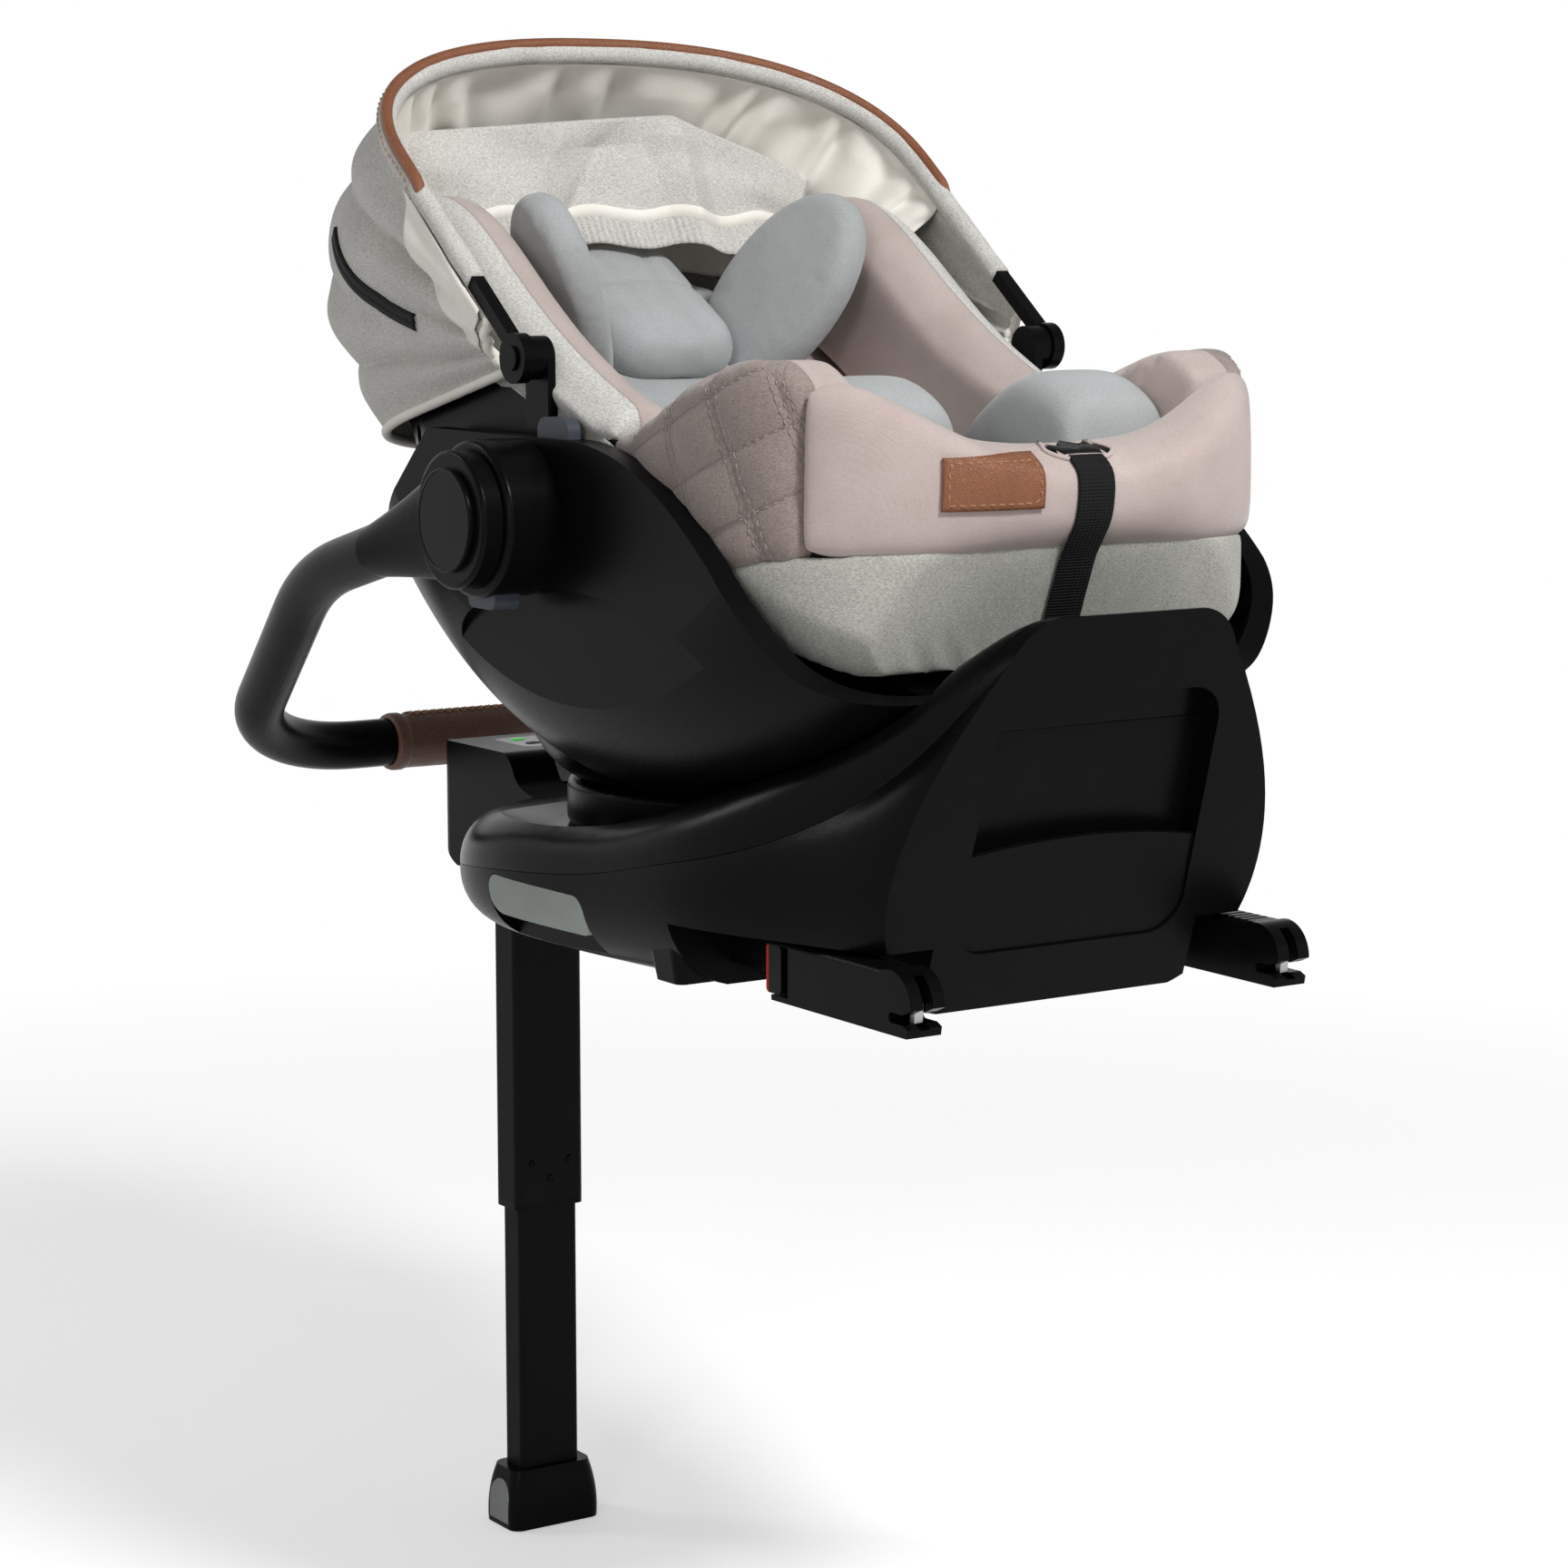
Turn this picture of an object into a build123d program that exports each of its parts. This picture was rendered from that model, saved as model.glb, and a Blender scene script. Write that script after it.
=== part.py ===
from build123d import *
from math import cos, radians, sin, tan
import os

os.makedirs("parts", exist_ok=True)

# Infant car seat on a swivelling base. Millimetres, +Z up, +X towards the child's feet
# and the car's backrest, +Y the child's left. The origin is the middle of the foot's sole.

# Clearances
move_gap = 0.6
run_gap = 0.05
seam_gap = 0.4

# Base
base_under_z = 508.0
deck_z = 575.0
swivel_x = 285.0
base_radius = 195.0
base_nose_angle = 20.0
under_tuck = 48.0
rim_tuck = 26.0
seam_front_z = 538.0
seam_climb = 0.11
rim_front_rise = 34.0
panel_foot_x = 640.0
panel_foot_z = 540.0
panel_tilt = 17.0
panel_skin_depth = 9.0
recess_half = 88.0
recess_height = 170.0
recess_depth = 16.0
recess_corner = 24.0
pocket_height = 76.0
pocket_plate = 3.5
pocket_setback = 2.0
keel_half = 101.0
keel_rear_x = 598.0

# Swivel
turntable_radius = 122.0
turntable_hole_radius = 78.0
turntable_top_z = 606.0
race_radius = 100.0
race_width = 12.0
race_depth = 7.0
race_rise = 8.0

# Front housing over the support leg
housing_front_x = -38.0
housing_top_z = 600.0
housing_top_length = 92.0
housing_half = 61.0
housing_corner = 16.0

# Support leg
leg_pivot_z = 535.0
leg_pin_radius = 6.0
leg_width = 58.0
leg_depth = 34.0
leg_corner = 6.0
leg_wall = 2.0
leg_outer_bottom_z = 246.0
leg_inner_width = 50.0
leg_inner_depth = 26.0
leg_inner_top_z = 400.0
leg_reach_out = 50.0
collar_height = 40.0
collar_lip = 5.0
foot_width = 76.0
foot_depth = 46.0
foot_height = 45.0
foot_marker_depth = 3.0
leg_side_gap = 2.0
bay_ceiling_z = 563.0

# Anchor arms that clamp the car's two lower bars
anchor_y = 140.0
arm_width = 25.0
arm_rise = 2.0
arm_height = 38.0
arm_rear_x = 546.0
arm_tip_x = 692.0
jaw_radius = 3.1
jaw_depth = 22.0
jaw_rise = 10.5
slider_width = 11.0
slider_height = 20.0
slider_rear_x = 400.0
arm_retract = 55.0
anchor_bay_front_x = 482.0
anchor_button_travel = 8.0
claw_thickness = 6.0
claw_pivot_radius = 2.5

# Side buttons that free the swivel
side_button_x = 330.0
side_button_length = 118.0
side_button_height = 27.0
side_button_z = 541.0
side_window_height = 44.0
side_button_depth = 16.0
side_button_corner = 10.5
side_button_travel = 5.0

# Carrier tub. Its inside is round about the recline centre, so the seat can slide in it.
recline_x = 395.0
tub_radius = 392.0
tub_floor_rise = 7.0
bowl_gap = 18.0
bowl_lip_gap = 13.0
tub_half = 209.0
tub_wall = 10.0
tub_side_wall = 16.0
tub_flat_half = 92.0
tub_back_angle = 47.5
tub_foot_angle = 46.5
tub_turn_in = 92.0
neck_radius = 112.0
neck_wide_radius = 150.0
neck_height = 140.0
neck_wall = 8.0
rim_foot_angle = 38.5
rim_hub_z = 846.0

# Handle and its hubs
hub_x = 345.0
hub_z = 795.0
hub_radius = 50.0
hub_outer_y = 247.0
hub_shaft_radius = 20.0
ring_radius = 44.0
ring_width = 14.0
hub_cap_radius = 33.0
hub_cap_width = 4.0
handle_radius = 18.0
handle_shoulder = (130.0, 743.0)
handle_bar = (-106.0, 590.0)
handle_shoulder_y = 247.5
handle_corner_y = 192.0
handle_bend = 118.0
grip_half = 67.0
grip_wall = 2.5
handle_button_length = 34.0
handle_button_travel = 4.0

# Seat bucket, as side-view lines of (X, Z) points from the head to the feet
seat_gap = 4.0
seat_wall = 5.0
seat_turn_in = 150.0
cover_thickness = 4.0
seat_head_x = 58.0
seat_foot_x = 648.0
seat_head_corner = 95.0
seat_foot_corner = 120.0
foot_slope_top_z = 805.0
foot_slope_run = 38.0
foot_slope_drop = 100.0
rim_line = [
    (-100, 925),
    (95, 930),
    (140, 945),
    (249, 906),
    (430, 842),
    (455, 815),
    (527, 777),
    (600, 788),
    (750, 800),
]
hem_line = [(-100, 885), (300, 870), (335, 850), (470, 790), (560, 735), (600, 714), (750, 708)]
corner_top_line = [(380, 820), (440, 850), (500, 878), (545, 893), (575, 898), (605, 882)]

# Padding, laid on the slope of the backrest
back_slope = 30.0
back_foot_x = 452.0
back_foot_z = 716.0
foam_head_x = 100.0
foam_lap_x = 545.0
foam_lap_z = 776.0
foam_layer = 45.0
foam_room_half = 100.0
insert_length = 226.0
insert_half = 118.0
insert_thickness = 24.0
headrest_start = 296.0
headrest_length = 136.0
headrest_half = 52.0
headrest_thickness = 36.0
headrest_plate = 4.0
wing_half_depth = 80.0
wing_half_height = 54.0
wing_width = 30.0
wing_root_y = 40.0
wing_flare = 25.0
wing_bend = 13.0
wing_reach = 330.0
wing_height = 50.0
bolster_inner_y = 140.0
bolster_bend = 24.0
foot_bend = 14.0
corner_inner_y = 128.0
corner_end_x = 600.0
leg_pad_inner_y = 40.0
leg_pad_outer_y = 122.0
strap_width = 25.0
strap_thickness = 1.6

# Canopy, in sections fanned about its pivot
canopy_x = 343.0
canopy_z = 895.0
canopy_half = 214.0
canopy_wall = 4.0
canopy_open_radius = 40.0
bow_width = 9.0
bow_depth = 9.0
trim_depth = 2.5
pivot_boss_radius = 14.0
pivot_shaft_radius = 8.0
crown_squareness = 2.4
# Each row: angle, half width, radius at the top of the straight side, radius at the crown.
canopy_rows = [
    (142, 214, 190, 327),
    (158, 214, 190, 374),
    (172, 210, 190, 402),
    (184, 204, 180, 362),
    (194, 196, 170, 318),
]


def node(name, shape):
    """Write one sub-part to its own file."""
    solids = shape.solids()
    export_step(solids[0] if len(solids) == 1 else Compound(children=solids), f"parts/{name}.step")


def block(low, high):
    """A box between two opposite corners."""
    size = [b - a for a, b in zip(low, high)]
    return Pos(*[(a + b) / 2 for a, b in zip(low, high)]) * Box(*size)


def side_slab(face, low_y, high_y):
    """A side-view face drawn out from one Y to another."""
    return Pos(0, high_y, 0) * extrude(face, high_y - low_y)


def both_sides(shape):
    """A shape and its mirror image across the middle plane."""
    return shape + mirror(shape, about=Plane.XZ)


def left_right(name, shape):
    """Write a piece and its mirror image as two nodes. The shape given is on the +Y side."""
    node(f"{name}_left", shape)
    node(f"{name}_right", mirror(shape, about=Plane.XZ))


# Base shells: cross-sections strung along X. The front ones lie on the round plan of the base,
# the rear ones climb into the panel that leans on the car's backrest.
# Each rear row: distance behind the swivel axis, narrowing, seam rise, rim rise, lower bulge.
rear_sections = [
    (95, 2, 60, 92, 0),
    (185, 8, 78, 116, 2),
    (255, 24, 95, 142, 8),
    (305, 44, 115, 168, 16),
    (345, 61, 139, 193, 24),
    (380, 80, 172, 220, 30),
    (425, 122, 236, 243, 34),
]
nose_angles = [base_nose_angle, 40, 65, 90]
recline_z = turntable_top_z + tub_floor_rise + tub_radius
arm_bottom_z = base_under_z + arm_rise
arm_top_z = arm_bottom_z + arm_height
jaw_z = arm_bottom_z + jaw_rise
loft_spare = 1.0


def base_stations():
    """Rows of X, half width at the seam, seam height, rim height and lower bulge."""
    rows = []
    for angle in nose_angles:
        x = swivel_x - base_radius * cos(radians(angle))
        half = base_radius * sin(radians(angle))
        seam = seam_front_z + seam_climb * (x - nose_x)
        rows.append((x, half, seam, seam + rim_front_rise, 0))
    for behind, narrowing, seam_rise, rim_rise, bulge in rear_sections:
        half = base_radius - narrowing
        rows.append((swivel_x + behind, half, base_under_z + seam_rise, base_under_z + rim_rise, bulge))
    return rows


def lower_section(x, half, seam, rim, bulge):
    """One cross-section of the lower shell, from the underside up to the seam."""
    low = base_under_z - loft_spare
    under = max(half - under_tuck, 0.3 * half)
    mid = (half - 9 + bulge, base_under_z + (0.3 + bulge / 170) * (seam - base_under_z))
    edges = [
        Line((-under, low), (under, low)),
        ThreePointArc((under, low), mid, (half, seam)),
        Line((half, seam), (-half, seam)),
        ThreePointArc((-half, seam), (-mid[0], mid[1]), (-under, low)),
    ]
    return Plane.YZ.offset(x) * make_face(edges)


def upper_section(x, half, seam, rim, bulge, gap=seam_gap):
    """One cross-section of the upper shell, from the seam up to the rim."""
    low = seam + gap
    top = half - rim_tuck
    mid = (half - 0.28 * rim_tuck, low + 0.66 * (rim - low))
    edges = [
        Line((-half, low), (half, low)),
        ThreePointArc((half, low), mid, (top, rim)),
        Line((top, rim), (-top, rim)),
        ThreePointArc((-top, rim), (-mid[0], mid[1]), (-half, low)),
    ]
    return Plane.YZ.offset(x) * make_face(edges)


nose_x = swivel_x - base_radius * cos(radians(base_nose_angle))
stations = base_stations()
below_base = block((-500, -500, 0), (1000, 500, base_under_z))
lower_solid = loft([lower_section(*row) for row in stations]) - below_base
upper_solid = loft([upper_section(*row) for row in stations])

tilt = radians(panel_tilt)
panel_plane = Plane(
    origin=(panel_foot_x, 0, panel_foot_z), x_dir=(0, 1, 0), z_dir=(cos(tilt), 0, -sin(tilt))
)
behind_panel = panel_plane * (Pos(0, 0, 200) * Box(800, 900, 400))
# The panel's outer skin is one piece with the lower shell, right up to the panel's top edge.
panel_skin = panel_plane * (
    Pos(0, recess_height / 2 + 60, -panel_skin_depth / 2) * Box(800, 400, panel_skin_depth)
)
upper_to_seam = loft([upper_section(*row, gap=-2 * loft_spare) for row in stations])
lower_solid += upper_to_seam & panel_skin
lower_solid -= behind_panel
upper_solid -= behind_panel + panel_skin

# Room for the swivelling carrier: a bowl, round about the swivel axis, that follows the tub's
# foot end as it turns.


def tub_reach(z):
    """How far the tub's foot end reaches from the swivel axis at one height."""
    along = recline_x - swivel_x + (tub_radius**2 - (recline_z - z) ** 2) ** 0.5
    return (along**2 + tub_flat_half**2) ** 0.5


bowl_points = [(turntable_radius + 10, deck_z), (turntable_radius + 95, deck_z + 32)]
bowl_points += [(tub_reach(deck_z + rise) + bowl_gap, deck_z + rise) for rise in (58, 79, 105)]
bowl_points.append((tub_reach(deck_z + 130) + bowl_lip_gap, deck_z + 130))
bowl_face = Plane.XZ * make_face(
    [
        Line((0, deck_z), (turntable_radius + 10, deck_z)),
        Spline(*bowl_points),
        Line(bowl_points[-1], (bowl_points[-1][0], 900)),
        Line((bowl_points[-1][0], 900), (0, 900)),
        Line((0, 900), (0, deck_z)),
    ]
)
bowl = Pos(swivel_x, 0, 0) * revolve(bowl_face, Axis.Z)

recess_face = make_face(
    FilletPolyline(
        (-recess_half, 4),
        (recess_half, 4),
        (recess_half - 5, recess_height),
        (-recess_half + 5, recess_height),
        radius=recess_corner,
        close=True,
    )
)
recess = panel_plane * extrude(recess_face, -recess_depth)
pocket_face = make_face(
    [
        Line((-recess_half - 9, -9), (recess_half + 9, -9)),
        Line((recess_half + 9, -9), (recess_half + 9, pocket_height - 9)),
        ThreePointArc(
            (recess_half + 9, pocket_height - 9), (0, pocket_height), (-recess_half - 9, pocket_height - 9)
        ),
        Line((-recess_half - 9, pocket_height - 9), (-recess_half - 9, -9)),
    ]
)
plate_face = recess_face & pocket_face
pocket_plate_solid = panel_plane * (Pos(0, 0, -pocket_setback) * extrude(plate_face, -pocket_plate))

# Bays in the lower shell
leg_slot_half = leg_width / 2 + leg_side_gap
leg_bay_half = foot_width / 2 + 5
leg_reach = leg_pivot_z + leg_reach_out + 6
leg_bay = block((nose_x - 1, -leg_bay_half, 400), (leg_reach, leg_bay_half, bay_ceiling_z))
anchor_bay = both_sides(
    block((anchor_bay_front_x, keel_half, 400), (800, 300, arm_top_z + 3))
)
slider_y = anchor_y - 1 - slider_width
slider_z = (arm_bottom_z + arm_top_z) / 2 + 3
slider_tunnel = both_sides(
    block(
        (slider_rear_x - arm_retract - 3, slider_y - move_gap, slider_z - slider_height / 2 - move_gap),
        (anchor_bay_front_x + 5, slider_y + slider_width + move_gap, slider_z + slider_height / 2 + move_gap),
    )
)
side_window_z = side_button_z + side_button_height / 2 - side_window_height / 2
side_window_face = Plane.XZ * (
    Pos(side_button_x, side_window_z)
    * RectangleRounded(
        side_button_length + 2 * move_gap, side_window_height + 2 * move_gap, side_button_corner + move_gap
    )
)
side_inner_y = base_radius - side_button_depth
side_windows = both_sides(
    side_slab(side_window_face, side_inner_y - side_button_travel - 1, base_radius + 30)
)
side_button_face = Plane.XZ * (
    Pos(side_button_x, side_button_z)
    * RectangleRounded(side_button_length, side_button_height, side_button_corner)
)
side_button = side_slab(side_button_face, side_inner_y, base_radius + 30) & lower_solid

keel_end = block((keel_rear_x, -keel_half, 400), (800, keel_half, panel_foot_z))
bottom_cover = lower_solid & keel_end
guide_boss = both_sides(
    Pos(anchor_bay_front_x - 19, 160, base_under_z + 18)
    * loft([Pos(0, 0, -16) * RectangleRounded(30, 32, 6), Pos(0, 0, 16) * RectangleRounded(38, 44, 8)])
)
lower_shell = lower_solid + guide_boss - slider_tunnel - keel_end - leg_bay - anchor_bay
# Hollows moulded into the underside, beside the leg's bay
under_roof = Pos(0, 0, -race_depth - 6) * bowl
panel_back = panel_plane * (Pos(0, 0, 200 - recess_depth - 14) * Box(800, 900, 400))
hollow_low_y = leg_bay_half + 6
hollows = both_sides(
    block((nose_x + 48, hollow_low_y, 400), (anchor_bay_front_x - 8, slider_y - 7, 800))
    + block((anchor_bay_front_x, hollow_low_y, 400), (keel_rear_x - 8, keel_half - 6, 800))
)
hollows = hollows - under_roof - panel_back
race_cut = Pos(swivel_x, 0, deck_z - race_depth / 2) * (
    Cylinder(race_radius + race_width / 2, race_depth) - Cylinder(race_radius - race_width / 2, race_depth)
)
lower_shell = lower_shell - recess - side_windows - bowl - race_cut - hollows
upper_shell = upper_solid - bowl - recess - race_cut - leg_bay - hollows

node("base_lower_shell", lower_shell)
node("base_upper_shell", upper_shell)
node("rear_pocket_panel", pocket_plate_solid)
node("rear_bottom_cover", bottom_cover)
left_right("side_button", side_button.solids().sort_by(Axis.Y)[-1])

# Bearing race and turntable
race_height = race_depth + race_rise
race = Pos(swivel_x, 0, deck_z - race_depth + race_height / 2) * (
    Cylinder(race_radius + race_width / 2, race_height) - Cylinder(race_radius - race_width / 2, race_height)
)
table_low_z = deck_z + move_gap
table_height = turntable_top_z - table_low_z
groove_height = race_rise + move_gap
groove = Pos(swivel_x, 0, table_low_z + groove_height / 2) * (
    Cylinder(race_radius + race_width / 2 + run_gap, groove_height)
    - Cylinder(race_radius - race_width / 2 - run_gap, groove_height)
)
turntable = Pos(swivel_x, 0, table_low_z + table_height / 2) * Cylinder(turntable_radius, table_height)
turntable = fillet(turntable.edges().filter_by(GeomType.CIRCLE), 5) - groove
turntable -= Pos(swivel_x, 0, table_low_z + table_height / 2) * Cylinder(turntable_hole_radius, table_height)
node("bearing_race", race)
node("turntable", turntable)

# Front housing, with the slot that the leg hangs and folds in
housing_profile = Plane.XZ * make_face(
    [
        Line((nose_x, base_under_z), (housing_front_x + 26, base_under_z)),
        ThreePointArc(
            (housing_front_x + 26, base_under_z),
            (housing_front_x + 5, base_under_z + 16),
            (housing_front_x, base_under_z + 46),
        ),
        Line((housing_front_x, base_under_z + 46), (housing_front_x + 4, housing_top_z - 8)),
        ThreePointArc(
            (housing_front_x + 4, housing_top_z - 8),
            (housing_front_x + 7, housing_top_z - 2),
            (housing_front_x + 14, housing_top_z),
        ),
        Line((housing_front_x + 14, housing_top_z), (housing_front_x + housing_top_length, housing_top_z)),
        Spline(
            (housing_front_x + housing_top_length, housing_top_z),
            (nose_x - 25, housing_top_z - 19),
            (nose_x, deck_z - 3),
            tangents=[(1, 0), (1, -0.25)],
        ),
        Line((nose_x, deck_z - 3), (nose_x, base_under_z)),
    ]
)
housing_solid = side_slab(housing_profile, -housing_half, housing_half)
housing_length = nose_x - housing_front_x
housing_plan = Pos(housing_front_x + housing_length, 0, base_under_z) * extrude(
    RectangleRounded(2 * housing_length, 2 * housing_half, housing_corner), 200
)
housing_solid = housing_solid & housing_plan
leg_slot = block(
    (-leg_depth / 2 - leg_side_gap, -leg_slot_half, 400), (nose_x + 1, leg_slot_half, bay_ceiling_z)
)
pin_half = housing_half - 8
hinge_pin = Pos(0, 0, leg_pivot_z) * Rot(90, 0, 0) * Cylinder(leg_pin_radius, 2 * pin_half)
indicator_x = housing_front_x + housing_top_length / 2 + 6
indicator = Pos(indicator_x, 0, housing_top_z - 1.5) * extrude(RectangleRounded(52, 62, 8), 1.5)
release_half = 24.0
release_depth = 22.0
release_travel = 4.0
release_low_z = deck_z + 4
release_high_z = housing_top_z - 8
release_block = block(
    (nose_x - 18 - release_depth, -release_half, release_low_z), (nose_x, release_half, release_high_z)
)
release_button = (Pos(2, 0, 0) * housing_solid) & release_block
release_pocket = block(
    (nose_x - 18 - release_depth - release_travel - 1, -release_half - move_gap, release_low_z - move_gap),
    (nose_x + 2, release_half + move_gap, release_high_z + move_gap),
)
housing = housing_solid - leg_slot - hinge_pin - indicator - release_pocket
node("front_housing", housing)
node("leg_hinge_pin", hinge_pin)
node("indicator_panel", indicator)
node("seat_release_button", release_button)

# Support leg


def leg_bar(depth, width, corner, low_z, high_z):
    """A rounded bar standing on the leg's axis."""
    return Pos(0, 0, low_z) * extrude(RectangleRounded(depth, width, corner), high_z - low_z)


head_z = leg_pivot_z - leg_depth / 2 - 12
tube_low_z = leg_outer_bottom_z + collar_lip
leg_head = Pos(0, 0, leg_pivot_z) * Rot(90, 0, 0) * Cylinder(leg_depth / 2, leg_width)
pin_bore = Pos(0, 0, leg_pivot_z) * Rot(90, 0, 0) * Cylinder(leg_pin_radius + run_gap, leg_width + 2)
button_half = 12.0
button_stand = 5.0
button_low_z = tube_low_z + 20
guide_rails = both_sides(
    block(
        (-leg_depth / 2 - button_stand, button_half + move_gap, button_low_z - 8),
        (-leg_depth / 2 + leg_wall / 2, button_half + 4, button_low_z + 44),
    )
)
outer_tube = (
    leg_bar(leg_depth, leg_width, leg_corner, tube_low_z, leg_pivot_z)
    - leg_bar(leg_depth - 2 * leg_wall, leg_width - 2 * leg_wall, leg_corner - leg_wall, tube_low_z, head_z)
    + leg_head
    + guide_rails
    - pin_bore
)
collar = (
    leg_bar(leg_depth, leg_width, leg_corner, leg_outer_bottom_z, tube_low_z)
    + leg_bar(
        leg_depth - 2 * leg_wall,
        leg_width - 2 * leg_wall,
        leg_corner - leg_wall,
        tube_low_z,
        leg_outer_bottom_z + collar_height,
    )
    - leg_bar(
        leg_inner_depth + 2 * move_gap,
        leg_inner_width + 2 * move_gap,
        leg_corner - leg_wall,
        leg_outer_bottom_z,
        leg_outer_bottom_z + collar_height,
    )
)
height_button = block(
    (-leg_depth / 2 - button_stand - 2, -button_half, button_low_z),
    (-leg_depth / 2 - move_gap, button_half, button_low_z + 28),
)
height_button = fillet(height_button.edges().filter_by(Axis.X), 4)
socket_z = 0.6 * foot_height
inner_tube = leg_bar(leg_inner_depth, leg_inner_width, 4, socket_z, leg_inner_top_z)
inner_tube -= leg_bar(leg_inner_depth - 4, leg_inner_width - 4, 2, socket_z, leg_inner_top_z)
foot_solid = loft(
    [
        RectangleRounded(foot_depth, foot_width, 9),
        Pos(0, 0, 0.55 * foot_height) * RectangleRounded(foot_depth - 1, foot_width - 1, 10),
        Pos(0, 0, foot_height) * RectangleRounded(foot_depth - 9, foot_width - 9, 10),
    ]
)
foot_solid -= leg_bar(leg_inner_depth, leg_inner_width, 4, socket_z, foot_height)
marker_half = 0.3 * foot_depth
marker_face = Plane.XZ * make_face(
    [
        Line((-marker_half, 4), (marker_half, 4)),
        Line((marker_half, 4), (marker_half, 0.45 * foot_height)),
        ThreePointArc(
            (marker_half, 0.45 * foot_height), (0, 0.8 * foot_height), (-marker_half, 0.45 * foot_height)
        ),
        Line((-marker_half, 0.45 * foot_height), (-marker_half, 4)),
    ]
)
marker_slots = both_sides(side_slab(marker_face, foot_width / 2 - foot_marker_depth, foot_width))
node("leg_outer_tube", outer_tube)
node("leg_collar", collar)
node("leg_height_button", height_button)
node("leg_inner_tube", inner_tube)
node("leg_foot", foot_solid - marker_slots)
node("foot_markers", foot_solid & marker_slots)

# Anchor arms, made on the +Y side
arm_low_y = anchor_y - arm_width / 2
arm_high_y = anchor_y + arm_width / 2
jaw_x = arm_tip_x - jaw_depth + jaw_radius
nose_z = jaw_z + jaw_radius + 4
arm_profile = Plane.XZ * make_face(
    [
        Line((arm_rear_x, arm_bottom_z), (arm_tip_x - 4, arm_bottom_z)),
        Line((arm_tip_x - 4, arm_bottom_z), (arm_tip_x - 2, jaw_z)),
        Line((arm_tip_x - 2, jaw_z), (arm_tip_x, nose_z)),
        ThreePointArc((arm_tip_x, nose_z), (arm_tip_x - 6, arm_top_z - 6), (arm_tip_x - 26, arm_top_z)),
        Line((arm_tip_x - 26, arm_top_z), (arm_rear_x, arm_top_z)),
        Line((arm_rear_x, arm_top_z), (arm_rear_x, arm_bottom_z)),
    ]
)
jaw_face = Plane.XZ * make_face(
    [
        ThreePointArc((jaw_x, jaw_z + jaw_radius), (jaw_x - jaw_radius, jaw_z), (jaw_x, jaw_z - jaw_radius)),
        Line((jaw_x, jaw_z - jaw_radius), (arm_tip_x - 8, jaw_z - jaw_radius)),
        Line((arm_tip_x - 8, jaw_z - jaw_radius), (arm_tip_x + 1, jaw_z - jaw_radius - 4)),
        Line((arm_tip_x + 1, jaw_z - jaw_radius - 4), (arm_tip_x + 1, jaw_z + jaw_radius + 4)),
        Line((arm_tip_x + 1, jaw_z + jaw_radius + 4), (arm_tip_x - 8, jaw_z + jaw_radius)),
        Line((arm_tip_x - 8, jaw_z + jaw_radius), (jaw_x, jaw_z + jaw_radius)),
    ]
)
claw_x = jaw_x - 18
claw_z = arm_top_z - 13
hook_x = jaw_x + jaw_radius + 2
hook_width = 4.5
claw_low_y = anchor_y - claw_thickness / 2
claw_high_y = anchor_y + claw_thickness / 2
claw_arm_face = Plane.XZ * make_face(
    Polyline(
        (claw_x - 5, claw_z - 4),
        (hook_x, jaw_z + jaw_radius + 1.5),
        (hook_x, jaw_z - 3),
        (hook_x + hook_width, jaw_z - 3),
        (hook_x + hook_width + 1, jaw_z + jaw_radius + 5),
        (claw_x + 2, claw_z + 5.5),
        close=True,
    )
)
claw_axis = Pos(claw_x, anchor_y, claw_z) * Rot(90, 0, 0)
claw = (
    side_slab(claw_arm_face, claw_low_y, claw_high_y)
    + claw_axis * Cylinder(6, claw_thickness)
    + claw_axis * Cylinder(claw_pivot_radius, arm_width - 6)
)
claw_slot = block(
    (claw_x - 12, claw_low_y - move_gap, arm_bottom_z + 4),
    (arm_tip_x + 5, claw_high_y + move_gap, arm_top_z - 2.5),
)
claw_bore = claw_axis * Cylinder(claw_pivot_radius + run_gap, arm_width - 5)
button_length = 16.0
anchor_button_z = (arm_bottom_z + arm_top_z) / 2
anchor_button_half = 15.0
anchor_button_low_x = arm_rear_x - anchor_button_travel + 1
anchor_button = block(
    (anchor_button_low_x, anchor_y + 1, anchor_button_z - anchor_button_half),
    (anchor_button_low_x + button_length, arm_high_y - 1, anchor_button_z + anchor_button_half),
)
anchor_button = fillet(anchor_button.edges().filter_by(Axis.Y), 3)
anchor_pocket = block(
    (arm_rear_x - 1, anchor_y + 1 - move_gap, anchor_button_z - anchor_button_half - move_gap),
    (
        anchor_button_low_x + button_length + anchor_button_travel + 1,
        arm_high_y + 1,
        anchor_button_z + anchor_button_half + move_gap,
    ),
)
rib_start = arm_tip_x - 58
rib_pitch = 7.0
arm_ribs = [
    block(
        (rib_start + rib_pitch * k, arm_low_y - 1, arm_top_z - 1.2),
        (rib_start + rib_pitch * k + 3, arm_high_y + 1, arm_top_z + 9),
    )
    for k in range(4)
]
arm = side_slab(arm_profile, arm_low_y, arm_high_y)
arm = fillet(arm.edges().filter_by(Axis.X).group_by(Axis.Z)[-1], 4)
jaw = side_slab(jaw_face, arm_low_y - 1, arm_high_y + 1)
arm = arm - jaw - claw_slot - claw_bore - anchor_pocket - arm_ribs
arm += block(
    (slider_rear_x, slider_y, slider_z - slider_height / 2),
    (arm_rear_x + 1, slider_y + slider_width, slider_z + slider_height / 2),
)
left_right("anchor_arm", arm)
left_right("anchor_claw", claw)
left_right("anchor_button", anchor_button)

# Carrier tub
recline_axis = Axis((recline_x, 0, recline_z), (0, 1, 0))


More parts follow.
